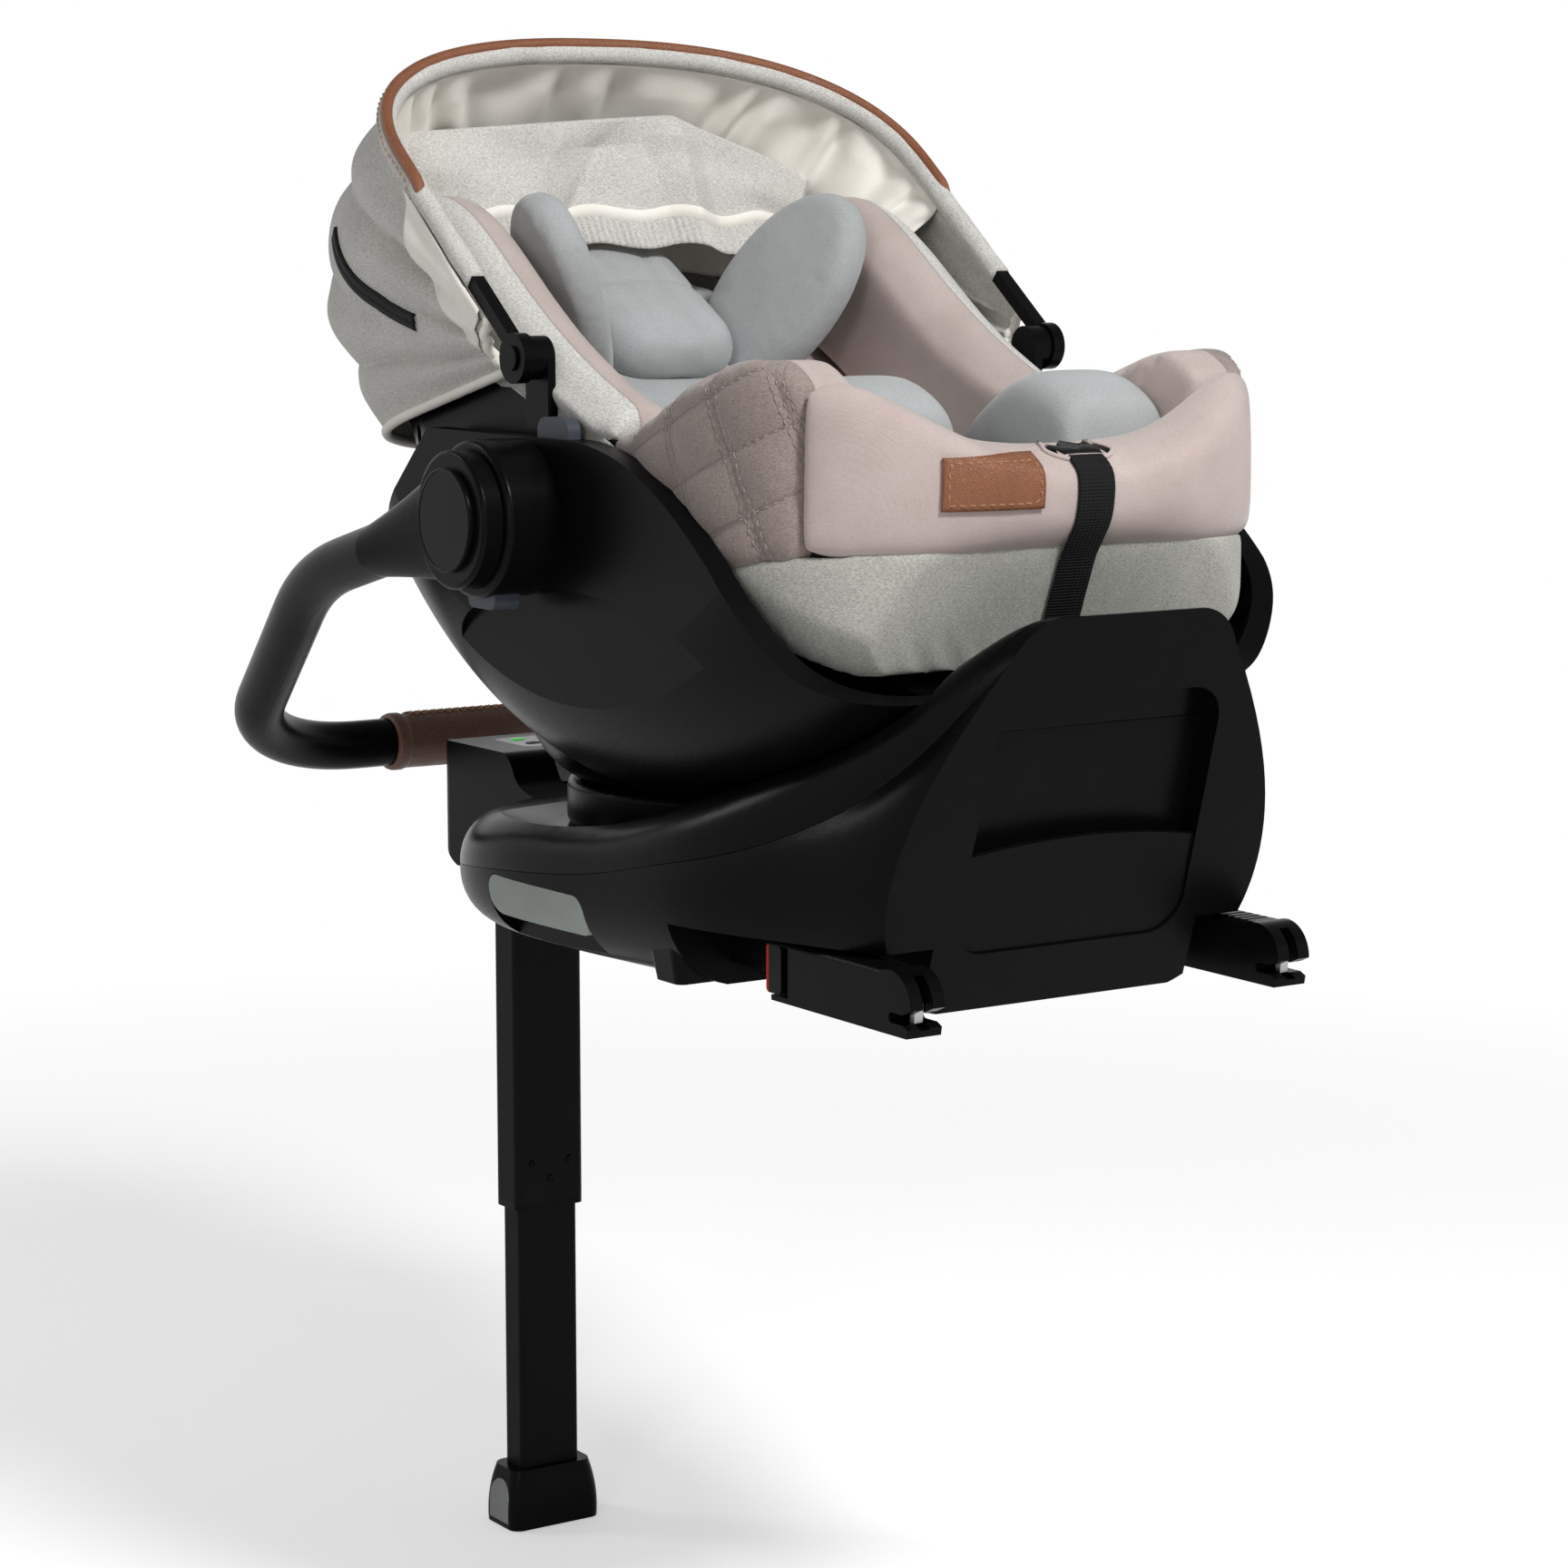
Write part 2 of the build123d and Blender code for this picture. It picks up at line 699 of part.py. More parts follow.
def trough(radius, half, flat_half, turn_in, foot_angle, back_angle):
    """A U-shaped section turned about the recline axis, from the foot end to the back."""
    low = recline_z - radius
    knee = low + turn_in
    mid_y = flat_half + 0.72 * (half - flat_half)
    mid_z = low + 0.28 * turn_in
    top = recline_z - 20
    edges = [
        Line((-half, top), (half, top)),
        Line((half, top), (half, knee)),
        ThreePointArc((half, knee), (mid_y, mid_z), (flat_half, low)),
        Line((flat_half, low), (-flat_half, low)),
        ThreePointArc((-flat_half, low), (-mid_y, mid_z), (-half, knee)),
        Line((-half, knee), (-half, top)),
    ]
    face = Plane.YZ.offset(recline_x) * make_face(edges)
    return revolve(face.rotate(recline_axis, -foot_angle), recline_axis, foot_angle + back_angle)


def neck_solid(inset):
    """The flared neck between turntable and tub, drawn in all round by an inset."""
    low = neck_radius - inset
    wide = neck_wide_radius - inset
    shoulder_z = turntable_top_z + 66
    top_z = turntable_top_z + neck_height
    face = Plane.XZ * make_face(
        [
            Line((0, turntable_top_z), (low, turntable_top_z)),
            ThreePointArc((low, turntable_top_z), (wide - 10, turntable_top_z + 24), (wide, shoulder_z)),
            Line((wide, shoulder_z), (wide, top_z)),
            Line((wide, top_z), (0, top_z)),
            Line((0, top_z), (0, turntable_top_z)),
        ]
    )
    return Pos(swivel_x, 0, 0) * revolve(face, Axis.Z)


neck = neck_solid(0) - neck_solid(neck_wall)
foot_turn = radians(rim_foot_angle)
rim_foot = (recline_x + tub_radius * sin(foot_turn), recline_z - tub_radius * cos(foot_turn))
above_rim = side_slab(
    Plane.XZ
    * make_face(
        [
            Line((0, rim_hub_z), (hub_x + 50, rim_hub_z)),
            Spline(
                (hub_x + 50, rim_hub_z),
                (hub_x + 150, rim_hub_z - 23),
                (hub_x + 208, rim_hub_z - 60),
                (hub_x + 250, rim_hub_z - 103),
                rim_foot,
                tangents=[(1, 0), (1, -0.25)],
            ),
            Line(rim_foot, (rim_foot[0] + 100, rim_foot[1])),
            Line((rim_foot[0] + 100, rim_foot[1]), (rim_foot[0] + 100, 1200)),
            Line((rim_foot[0] + 100, 1200), (0, 1200)),
            Line((0, 1200), (0, rim_hub_z)),
        ]
    ),
    -300,
    300,
)
tub_outer = trough(tub_radius, tub_half, tub_flat_half, tub_turn_in, tub_foot_angle, tub_back_angle)
tub_inner_half = tub_half - tub_side_wall
cavity = trough(tub_radius - tub_wall, tub_inner_half, tub_flat_half, tub_turn_in, 100, 100)
oval_x = 405.0
oval_z = 706.0
oval_half_length = 150.0
oval_half_height = 46.0
oval_depth = 6.0
side_ovals = both_sides(
    side_slab(
        Plane.XZ * (Pos(oval_x, oval_z) * Ellipse(oval_half_length, oval_half_height)),
        tub_half - oval_depth,
        tub_half + 20,
    )
)
lever_x = hub_x + 32
lever_half = 19.0
lever_width = 9.0
lever_y = tub_half - 9
lever_travel = 4.0
lever_low_z = rim_hub_z - 12
lever_slot = block(
    (lever_x - lever_half - move_gap, lever_y - lever_width / 2 - move_gap, lever_low_z - lever_travel - 1),
    (lever_x + lever_half + move_gap, lever_y + lever_width / 2 + move_gap, rim_hub_z + 40),
)
tub = (tub_outer + neck) - cavity - above_rim - side_ovals - both_sides(lever_slot)
lever = block(
    (lever_x - lever_half, lever_y - lever_width / 2, lever_low_z),
    (lever_x + lever_half, lever_y + lever_width / 2, rim_hub_z + 13),
)
lever = fillet(lever.edges().filter_by(Axis.Y).group_by(Axis.Z)[-1], 9)
node("outer_shell", tub)
left_right("release_lever", lever)

# Hubs, handle and buttons, made on the +Y side


def on_hub(radius, low_y, high_y):
    """A disc on the handle's axis."""
    return Pos(hub_x, (low_y + high_y) / 2, hub_z) * Rot(90, 0, 0) * Cylinder(radius, high_y - low_y)


ring_low_y = hub_outer_y + move_gap
ring_high_y = ring_low_y + ring_width
ring_mid_y = (ring_low_y + ring_high_y) / 2
drum = on_hub(hub_radius, tub_half, hub_outer_y)
drum = fillet(drum.edges().filter_by(GeomType.CIRCLE).sort_by(Axis.Y)[-1], 4)
handle_button_y = hub_outer_y - 17
handle_button_half_y = 9.0
handle_button_low_z = hub_z - hub_radius - 7
handle_button_high_z = hub_z - hub_radius + 14
handle_button = block(
    (hub_x - handle_button_length / 2, handle_button_y - handle_button_half_y, handle_button_low_z),
    (hub_x + handle_button_length / 2, handle_button_y + handle_button_half_y, handle_button_high_z),
)
handle_button = fillet(handle_button.edges().filter_by(Axis.Y).group_by(Axis.Z)[0], 6)
handle_pocket = block(
    (
        hub_x - handle_button_length / 2 - move_gap,
        handle_button_y - handle_button_half_y - move_gap,
        handle_button_low_z - 20,
    ),
    (
        hub_x + handle_button_length / 2 + move_gap,
        handle_button_y + handle_button_half_y + move_gap,
        handle_button_high_z + handle_button_travel + 1,
    ),
)
hub = drum + on_hub(hub_shaft_radius, hub_outer_y - 1, ring_high_y - 3) - handle_pocket
hub_cap = on_hub(hub_cap_radius, ring_high_y, ring_high_y + hub_cap_width)
hub_cap = fillet(hub_cap.edges().filter_by(GeomType.CIRCLE).sort_by(Axis.Y)[-1], 1.5)
left_right("hub", hub)
left_right("hub_cap", hub_cap)
left_right("handle_button", handle_button)

shoulder = Vector(handle_shoulder[0], handle_shoulder_y, handle_shoulder[1])
corner = Vector(handle_bar[0], handle_corner_y, handle_bar[1])
hub_point = Vector(hub_x, ring_mid_y, hub_z)
arm_start = hub_point + (shoulder - hub_point) * 0.52
shoulder_bend = 2.2 * handle_bend
half_path = [arm_start, shoulder, corner]
mirrored = [Vector(p.X, -p.Y, p.Z) for p in reversed(half_path)]
handle_path = FilletPolyline(
    *half_path, *mirrored, radius=[shoulder_bend, handle_bend, handle_bend, shoulder_bend]
)
bow_tube = sweep(Plane(origin=handle_path @ 0, z_dir=handle_path % 0) * Circle(handle_radius), path=handle_path)
arm_dir = (shoulder - hub_point).normalized()


def arm_oval(share, half_y, half_z):
    """An upright oval across the handle's arm, at a share of the way from hub to tube."""
    centre = hub_point + (arm_start - hub_point) * share
    return Plane(origin=centre, x_dir=(0, 1, 0), z_dir=arm_dir) * Ellipse(half_y, half_z)


handle_arm = loft(
    [
        arm_oval(0.0, ring_width / 2, ring_radius - 3),
        arm_oval(0.5, 0.62 * handle_radius, 0.5 * (ring_radius + handle_radius) - 3),
        arm_oval(1.0, handle_radius, handle_radius),
    ]
)
handle_ring = on_hub(ring_radius, ring_low_y, ring_high_y)
handle_ring = fillet(handle_ring.edges().filter_by(GeomType.CIRCLE).sort_by(Axis.Y)[-1], 3)
drum_room = on_hub(hub_radius + 6, 0, ring_low_y)
cap_room = on_hub(hub_cap_radius, ring_high_y, ring_high_y + 30)
shaft_bore = on_hub(hub_shaft_radius + run_gap, 0, 400)
side_arm = handle_ring + handle_arm - drum_room - cap_room - shaft_bore
grip = Pos(handle_bar[0], 0, handle_bar[1]) * Rot(90, 0, 0) * (
    Cylinder(handle_radius + grip_wall, 2 * grip_half) - Cylinder(handle_radius, 2 * grip_half)
)
grip = fillet(grip.edges().filter_by(GeomType.CIRCLE).filter_by(lambda e: e.radius > handle_radius), 1.5)
node("handle_bow", bow_tube + both_sides(side_arm))
node("handle_grip", grip)

# Seat bucket


def line_z(points, x):
    """Height of a side-view line at one X."""
    for (x0, z0), (x1, z1) in zip(points, points[1:]):
        if x0 <= x <= x1:
            return z0 + (z1 - z0) * (x - x0) / (x1 - x0)


def beside(points, far_z):
    """Everything between a side-view line and a level far above or below it."""
    ring = [*points, (points[-1][0], far_z), (points[0][0], far_z)]
    return side_slab(Plane.XZ * make_face(Polyline(*ring, close=True)), -400, 400)


def seat_body(grow):
    """The seat's solid outline: the tub's round floor, a rounded plan and a sloping foot end."""
    head = seat_head_x - grow
    foot = seat_foot_x + grow
    half = seat_half + grow
    floor = trough(seat_radius + grow, half, tub_flat_half - 8, seat_turn_in, 100, 100)
    plan = make_face(
        FilletPolyline(
            (head, -half),
            (foot, -half),
            (foot, half),
            (head, half),
            radius=[seat_head_corner, seat_foot_corner, seat_foot_corner, seat_head_corner],
            close=True,
        )
    )
    slope = Plane.XZ * make_face(
        Polyline(
            (foot + 2, foot_slope_top_z),
            (foot - foot_slope_run, foot_slope_top_z - foot_slope_drop),
            (foot - foot_slope_run, 500),
            (foot + 60, 500),
            (foot + 60, foot_slope_top_z),
            close=True,
        )
    )
    column = Pos(0, 0, 500) * extrude(plan, 700)
    return (column - side_slab(slope, -400, 400)) & floor


seat_radius = tub_radius - tub_wall - seat_gap - cover_thickness
seat_half = tub_inner_half - seat_gap - cover_thickness
bucket_outside = seat_body(0)
bucket_inside = seat_body(-seat_wall)
jacket_outside = seat_body(cover_thickness)
above_seat_rim = beside(rim_line, 1300)

foam_head_z = back_foot_z + (back_foot_x - foam_head_x) * tan(radians(back_slope))
foam_line = [
    (-100, foam_head_z),
    (foam_head_x, foam_head_z),
    (back_foot_x, back_foot_z),
    (back_foot_x + 38, back_foot_z + 12),
    (foam_lap_x, foam_lap_z),
    (750, foam_lap_z),
]
vent_slots = [
    side_slab(Plane.XZ * (Pos(128 + 26 * k, 838 - 9 * k, 0) * Rot(0, 0, 60) * SlotOverall(34, 9)), -400, 400)
    for k in range(6)
]
node("inner_shell", bucket_outside - bucket_inside - above_seat_rim - vent_slots)
foam_under = beside([(x, z - foam_layer) for x, z in foam_line], 500)
foam_room = block((foam_head_x, -foam_room_half, 0), (foam_lap_x, foam_room_half, 1200)) & foam_under
seat_foam = (bucket_inside & beside(foam_line, 500)) - foam_room
node("seat_foam", seat_foam)
node("seat_cover", (jacket_outside - bucket_outside - above_seat_rim) & beside(hem_line, 1300))

# Cushions on the rim


def upright(x, low_y, high_y, low_z, high_z, corner):
    """An upright rounded section across the seat."""
    centre = Pos((low_y + high_y) / 2, (low_z + high_z) / 2)
    return Plane.YZ.offset(x) * (centre * RectangleRounded(high_y - low_y, high_z - low_z, corner))


def round_topped(x, low_y, high_y, low_z, high_z, bend):
    """An upright section across the seat with a square foot and a rounded top."""
    spring_z = high_z - bend
    dip = bend * (1 - cos(radians(45)))
    edges = [
        Line((low_y, low_z), (high_y, low_z)),
        Line((high_y, low_z), (high_y, spring_z)),
        ThreePointArc((high_y, spring_z), (high_y - dip, high_z - dip), (high_y - bend, high_z)),
        Line((high_y - bend, high_z), (low_y + bend, high_z)),
        ThreePointArc((low_y + bend, high_z), (low_y + dip, high_z - dip), (low_y, spring_z)),
        Line((low_y, spring_z), (low_y, low_z)),
    ]
    return Plane.YZ.offset(x) * make_face(edges)


bolster_end_x = 424.0
# Each row: X, height of the top, and how far the outer side is drawn in under the canopy.
bolster_rows = [
    (140, 990, 8),
    (165, 998, 4),
    (221, 982, 0),
    (292, 936, 0),
    (381, 887, 0),
    (bolster_end_x, 868, 0),
]
bolster_outer_y = seat_half + cover_thickness + 1
rolls = []
sides = []
for x, top, draw_in in bolster_rows:
    foot_z = line_z(rim_line, x) + 0.3
    bend = min(bolster_bend - draw_in / 2, 0.8 * (top - foot_z))
    rolls.append(round_topped(x, bolster_inner_y, bolster_outer_y - draw_in, foot_z, top, bend))
    side_top = top - bend - 4
    sides.append(upright(x, bolster_inner_y + 1, seat_half - seat_wall, line_z(foam_line, x), side_top, 6))
bolster_roll = loft(rolls)
bolster_side = loft(sides)
back_bolster = bolster_roll + (bolster_side & bucket_inside)
left_right("back_bolster", back_bolster)

corner_room = beside(rim_line, 1300) & beside(corner_top_line, 500)
quilt_corner = jacket_outside & corner_room
quilt_corner &= block((bolster_end_x + 1, corner_inner_y, 700), (corner_end_x, 300, 1000))
quilt_lines = [
    Pos(455 + 34 * k, seat_half + cover_thickness, 840) * Rot(0, tilt_line, 0) * Box(2.5, 3, 240)
    for tilt_line in (-38, 38)
    for k in range(5)
]
left_right("quilt_corner", quilt_corner - quilt_lines)

foot_top = Plane.YZ.offset(corner_end_x + move_gap) * make_face(
    [
        Spline((-195, 872), (-150, 886), (-85, 860), (0, 850), (85, 860), (150, 886), (195, 872)),
        Line((195, 872), (195, 700)),
        Line((195, 700), (-195, 700)),
        Line((-195, 700), (-195, 872)),
    ]
)
foot_bolster = jacket_outside & beside(rim_line, 1300) & extrude(foot_top, 200)
foot_crest = foot_bolster.faces().sort_by(Axis.Z)[-1]
node("foot_bolster", fillet(foot_crest.edges(), foot_bend))

leg_pad_tops = [(466, 853), (500, 876), (545, 888), (588, 868)]
leg_pad = loft(
    [upright(x, leg_pad_inner_y, leg_pad_outer_y, line_z(foam_line, x), top, 20) for x, top in leg_pad_tops]
)
left_right("leg_pad", leg_pad - seat_foam)

# Cushions and harness on the backrest. On this plane X runs up the back and Z stands off it.
slope = radians(back_slope)
back_plane = Plane(
    origin=(back_foot_x, 0, back_foot_z), x_dir=(-cos(slope), 0, sin(slope)), z_dir=(sin(slope), 0, cos(slope))
)


def pillow(low, high, corner):
    """A cushion with drawn-in sides, between two corners."""
    centre = Pos((low[0] + high[0]) / 2, (low[1] + high[1]) / 2, low[2])
    sections = []
    for share, draw_in in ((0, 8), (0.45, 0), (1, 16)):
        outline = RectangleRounded(high[0] - low[0] - draw_in, high[1] - low[1] - draw_in, corner)
        sections.append(centre * Pos(0, 0, share * (high[2] - low[2])) * outline)
    return loft(sections)


insert_low = 4.0
insert_high = insert_low + insert_length
insert_pad = pillow((insert_low, -insert_half, 0), (insert_high, insert_half, insert_thickness), 40)
strap_top = insert_thickness + strap_thickness
buckle_low = 22.0
buckle_high = 72.0
buckle_half = 26.0
buckle_top = insert_thickness + 22
strap_mid_low = 13.0
strap_mid_high = 42.0
strap_face = make_face(
    Polyline(
        (buckle_high, strap_mid_low - strap_width / 2),
        (insert_high + 2, strap_mid_high - strap_width / 2),
        (insert_high + 2, strap_mid_high + strap_width / 2),
        (buckle_high, strap_mid_low + strap_width / 2),
        close=True,
    )
)
strap = Pos(0, 0, insert_thickness) * extrude(strap_face, strap_thickness)
strap += block(
    (insert_high + 0.4, strap_mid_high - strap_width / 2, 0),
    (insert_high + 2, strap_mid_high + strap_width / 2, strap_top),
)
pad_face = make_face(Polyline((146, 8), (216, 20), (216, 60), (146, 46), close=True))
shoulder_pad = Pos(0, 0, strap_top) * extrude(fillet(pad_face.vertices(), 9), 9)
shoulder_pad = fillet(shoulder_pad.edges().group_by(Axis.Z)[-1], 3.5)
crotch_strap = block(
    (insert_low - 2, -strap_width / 2, insert_thickness), (buckle_low, strap_width / 2, strap_top)
) + block((insert_low - 2, -strap_width / 2, 0), (insert_low - 0.4, strap_width / 2, strap_top))
buckle_button_half = 12.0
buckle_button_low = buckle_low + 10
buckle_button_high = buckle_button_low + 24
buckle_button_travel = 3.0
buckle = block((buckle_low, -buckle_half, insert_thickness), (buckle_high, buckle_half, buckle_top))
buckle = fillet(buckle.edges().filter_by(Axis.Z), 9)
buckle = fillet(buckle.edges().group_by(Axis.Z)[-1], 5)
buckle -= block(
    (buckle_button_low - move_gap, -buckle_button_half - move_gap, buckle_top - 9),
    (buckle_button_high + move_gap, buckle_button_half + move_gap, buckle_top + 10),
)
buckle_button = block(
    (buckle_button_low, -buckle_button_half, buckle_top - 9 + buckle_button_travel + 1),
    (buckle_button_high, buckle_button_half, buckle_top + 1.5),
)
node("insert_pad", back_plane * insert_pad)
node("harness_straps", back_plane * both_sides(strap))
node("shoulder_pads", back_plane * both_sides(shoulder_pad))
node("crotch_strap", back_plane * crotch_strap)
node("buckle", back_plane * buckle)
node("buckle_button", back_plane * fillet(buckle_button.edges().filter_by(Axis.Z), 4))

# Adjuster strap, out of the slot in the foot bolster and down the front
front_x = seat_foot_x + cover_thickness
strap_slope_z = foot_slope_top_z - 62
strap_slope_x = front_x - foot_slope_run * (foot_slope_top_z - strap_slope_z) / foot_slope_drop
adjuster_face = Plane.XZ * make_face(
    Polyline(
        (front_x, 842),
        (front_x + strap_thickness, 842),
        (front_x + strap_thickness + 2, foot_slope_top_z),
        (strap_slope_x + strap_thickness + 2, strap_slope_z),
        (strap_slope_x + 2, strap_slope_z),
        (front_x + 2, foot_slope_top_z),
        (front_x, foot_slope_top_z + 3),
        close=True,
    )
)
node("adjuster_strap", side_slab(adjuster_face, -strap_width / 2, strap_width / 2))

# Headrest, sliding up the backrest on its plate
plate_low = move_gap
plate_high = plate_low + headrest_plate
headrest_end = headrest_start + headrest_length
plate = Pos(0.5 * (250 + headrest_end), 0, plate_low) * extrude(
    RectangleRounded(headrest_end - 254, 210, 30), headrest_plate
)
pad_top = plate_high + headrest_thickness
headrest_pad = pillow(
    (headrest_start, -headrest_half, plate_high), (headrest_end, headrest_half, pad_top), 26
)
pad_channels = [
    block((headrest_start - 5, y - 1.25, pad_top - 2), (headrest_end + 5, y + 1.25, pad_top + 50))
    for y in (-20, 20)
]
wing_oval = extrude(Ellipse(wing_half_height, wing_half_depth), wing_width)
wing_oval = fillet(wing_oval.edges(), wing_bend)
wing_turn = Rot(90 - wing_flare, 0, 0)
wing_mid_y = wing_root_y + wing_half_depth * sin(radians(wing_flare)) + wing_width
wing = Pos(wing_reach, wing_mid_y, wing_height) * wing_turn * wing_oval
wing -= block((0, -300, -100), (600, 300, plate_high))
node("headrest_frame", back_plane * plate)
node("headrest_pad", back_plane * (headrest_pad - pad_channels - both_sides(wing)))
left_right("headrest_wing", back_plane * mirror(wing, about=Plane.XZ))

# Canopy


def canopy_plane(angle):
    """The plane through the canopy's pivot at one angle. Its Y runs out from the pivot."""
    turn = radians(angle)
    return Plane(origin=(canopy_x, 0, canopy_z), x_dir=(0, 1, 0), z_dir=(sin(turn), 0, -cos(turn)))


def canopy_section(angle, half, side, crown, inset):
    """One section of the canopy: straight sides and a domed crown."""
    y = half - inset
    low = canopy_open_radius - 3 * inset
    power = 2 / crown_squareness
    quarter = []
    for step in range(7):
        turn = radians(15 * step)
        across = y * cos(turn) ** power if step < 6 else 0
        quarter.append((across, side + (crown - inset - side) * sin(turn) ** power))
    points = quarter + [(-a, r) for a, r in reversed(quarter[:-1])]
    edges = [
        Line((y, low), points[0]),
        Spline(*points),
        Line(points[-1], (-y, low)),
        Line((-y, low), (y, low)),
    ]
    return canopy_plane(angle) * make_face(edges)


def bow_ring(start, depth):
    """A flat ring along the canopy's front edge, standing off its front plane."""
    row = canopy_rows[0]
    front = Vector(sin(radians(row[0])), 0, -cos(radians(row[0])))
    outside = extrude(canopy_section(*row, 0), depth, dir=front)
    inside = extrude(canopy_section(*row, bow_width), depth, dir=front)
    return Pos(*(front * start)) * (outside - inside)


def on_canopy_axis(radius, low_y, high_y):
    """A disc on the canopy's pivot, on the +Y side."""
    return Pos(canopy_x, (low_y + high_y) / 2, canopy_z) * Rot(90, 0, 0) * Cylinder(radius, high_y - low_y)


canopy_outside = loft([canopy_section(*row, 0) for row in canopy_rows])
inner_rows = [list(row) for row in canopy_rows]
inner_rows[0][0] -= 1.5
inner_rows[-1][0] += 1.5
canopy_inside = loft([canopy_section(*row, canopy_wall) for row in inner_rows])
bow_inner_y = canopy_half - bow_width
bow_leg = canopy_plane(canopy_rows[0][0]) * block(
    (bow_inner_y, 0, 0), (canopy_half, canopy_open_radius + 1, bow_depth)
)
bow_hub = on_canopy_axis(pivot_boss_radius + 2, bow_inner_y, canopy_half)
pivot_bore = on_canopy_axis(pivot_shaft_radius + run_gap, 0, 400)
canopy_bow = bow_ring(0, bow_depth) + both_sides(bow_leg + bow_hub - pivot_bore)
jacket_half = seat_half + cover_thickness
bracket_y = jacket_half + 7
boss_y = bow_inner_y - move_gap
canopy_pivot = (
    block((canopy_x - 14, jacket_half, rim_hub_z + seat_gap), (canopy_x + 14, bracket_y, rim_hub_z + 19))
    + block((canopy_x - 14, bolster_outer_y + 0.3, rim_hub_z + 14), (canopy_x + 14, bracket_y, canopy_z))
    + on_canopy_axis(pivot_boss_radius, bolster_outer_y + 0.3, boss_y)
    + on_canopy_axis(pivot_shaft_radius, boss_y - 1, canopy_half + 2)
)
node("canopy_fabric", canopy_outside - canopy_inside)
node("canopy_bow", canopy_bow)
node("canopy_trim", bow_ring(bow_depth, trim_depth))
node("canopy_pivots", both_sides(canopy_pivot))
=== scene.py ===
import math

import bpy
import numpy as np
from bpy.props import FloatProperty, FloatVectorProperty, IntProperty, PointerProperty
from mathutils import Matrix, Vector, noise


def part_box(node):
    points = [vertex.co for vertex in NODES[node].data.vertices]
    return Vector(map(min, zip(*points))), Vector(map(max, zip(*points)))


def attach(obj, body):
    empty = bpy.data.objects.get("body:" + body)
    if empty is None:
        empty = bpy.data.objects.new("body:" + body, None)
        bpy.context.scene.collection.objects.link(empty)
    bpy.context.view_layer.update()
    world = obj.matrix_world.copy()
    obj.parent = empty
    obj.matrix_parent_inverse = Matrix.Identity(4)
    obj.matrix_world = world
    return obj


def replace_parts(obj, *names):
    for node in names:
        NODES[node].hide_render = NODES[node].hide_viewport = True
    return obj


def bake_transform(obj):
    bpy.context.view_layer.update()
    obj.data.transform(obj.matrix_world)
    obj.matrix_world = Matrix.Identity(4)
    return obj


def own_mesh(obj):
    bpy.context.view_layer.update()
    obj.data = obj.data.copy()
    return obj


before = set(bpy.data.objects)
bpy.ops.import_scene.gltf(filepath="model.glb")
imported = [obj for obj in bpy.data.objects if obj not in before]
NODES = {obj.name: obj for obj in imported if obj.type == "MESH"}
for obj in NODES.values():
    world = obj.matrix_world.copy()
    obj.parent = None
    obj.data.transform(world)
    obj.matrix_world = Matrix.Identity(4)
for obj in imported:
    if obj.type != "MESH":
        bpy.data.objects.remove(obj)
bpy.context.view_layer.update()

bl_info = {
    "name": "Infant car seat",
    "version": (1, 0, 0),
    "blender": (4, 5, 0),
    "location": "View3D > Sidebar > Seat",
    "description": "Dresses the infant car seat in plastics, cloth, leather and webbing",
    "category": "Object",
}

# Places on the seat, in metres, in the row frame
SIDES = (("left", 1), ("right", -1))
CANOPY_PIVOT = (0.343, 0.895)
CANOPY_ROWS = [
    # angle in degrees, half width, side, crown
    (142, 0.214, 0.190, 0.327),
    (158, 0.214, 0.190, 0.374),
    (172, 0.210, 0.190, 0.402),
    (184, 0.204, 0.180, 0.362),
    (194, 0.196, 0.170, 0.318),
]
CANOPY_FRONT = CANOPY_ROWS[0][0]
CANOPY_REAR = CANOPY_ROWS[-1][0]
CANOPY_MIDDLE = Vector((CANOPY_PIVOT[0], 0, CANOPY_PIVOT[1]))
CANOPY_LEAN = math.radians(CANOPY_FRONT)
CANOPY_AHEAD = Vector((math.sin(CANOPY_LEAN), 0, -math.cos(CANOPY_LEAN)))
CROWN_SQUARENESS = 2.4
CANOPY_OPEN = 0.040
CANOPY_STRAIGHT = 0.34
CANOPY_FOLDS = 4.0
BOW_REACH = 0.93
PIPING_REACH = 0.80
ZIP_SPAN = (0.50, 0.78)
ZIP_PROFILE = [
    (-1, -0.001), (-0.8, 0.0018), (-0.15, 0.002), (0, 0.0006), (0.15, 0.002), (0.8, 0.0018), (1, -0.001),
]
PANEL_TOP = [
    (0.086, -0.166, 1.028), (0.090, -0.151, 1.043), (0.095, -0.047, 1.051), (0.100, 0.058, 1.058),
    (0.105, 0.125, 1.032), (0.110, 0.175, 1.008),
]
PANEL_FOOT = [(0.116, -0.156, 0.988), (0.118, -0.044, 0.985), (0.118, 0.015, 0.989), (0.116, 0.156, 0.980)]
BACK_FOOT = Vector((0.452, 0, 0.716))
BACK_SLOPE = math.radians(30)
UP_BACK = Vector((-math.cos(BACK_SLOPE), 0, math.sin(BACK_SLOPE)))
OFF_BACK = Vector((math.sin(BACK_SLOPE), 0, math.cos(BACK_SLOPE)))
RECLINE_MIDDLE = Vector((0.395, 0, 1.005))
RECLINE_TURNS = (math.radians(5), math.radians(10))
SHELL_CLEARANCE = 0.005
RIM_SEAM_Y = 0.168
CORNER_SEAM_Y = 0.158
CORNER_START = (0.528, 0.065)
CORNER_RADIUS = 0.124
QUILT_PITCH = 0.048
QUILT_GROUP = (-0.0045, 0.0, 0.0045)
QUILT_CROSS = 0.038
QUILT_LEAN = math.radians(24)
QUILT_MIDDLE = (0.452, 0.84)
HUB_MIDDLE = (0.345, 0.795)
HANDLE_BAR = (-0.106, 0.590)
GRIP_HALF = 0.067
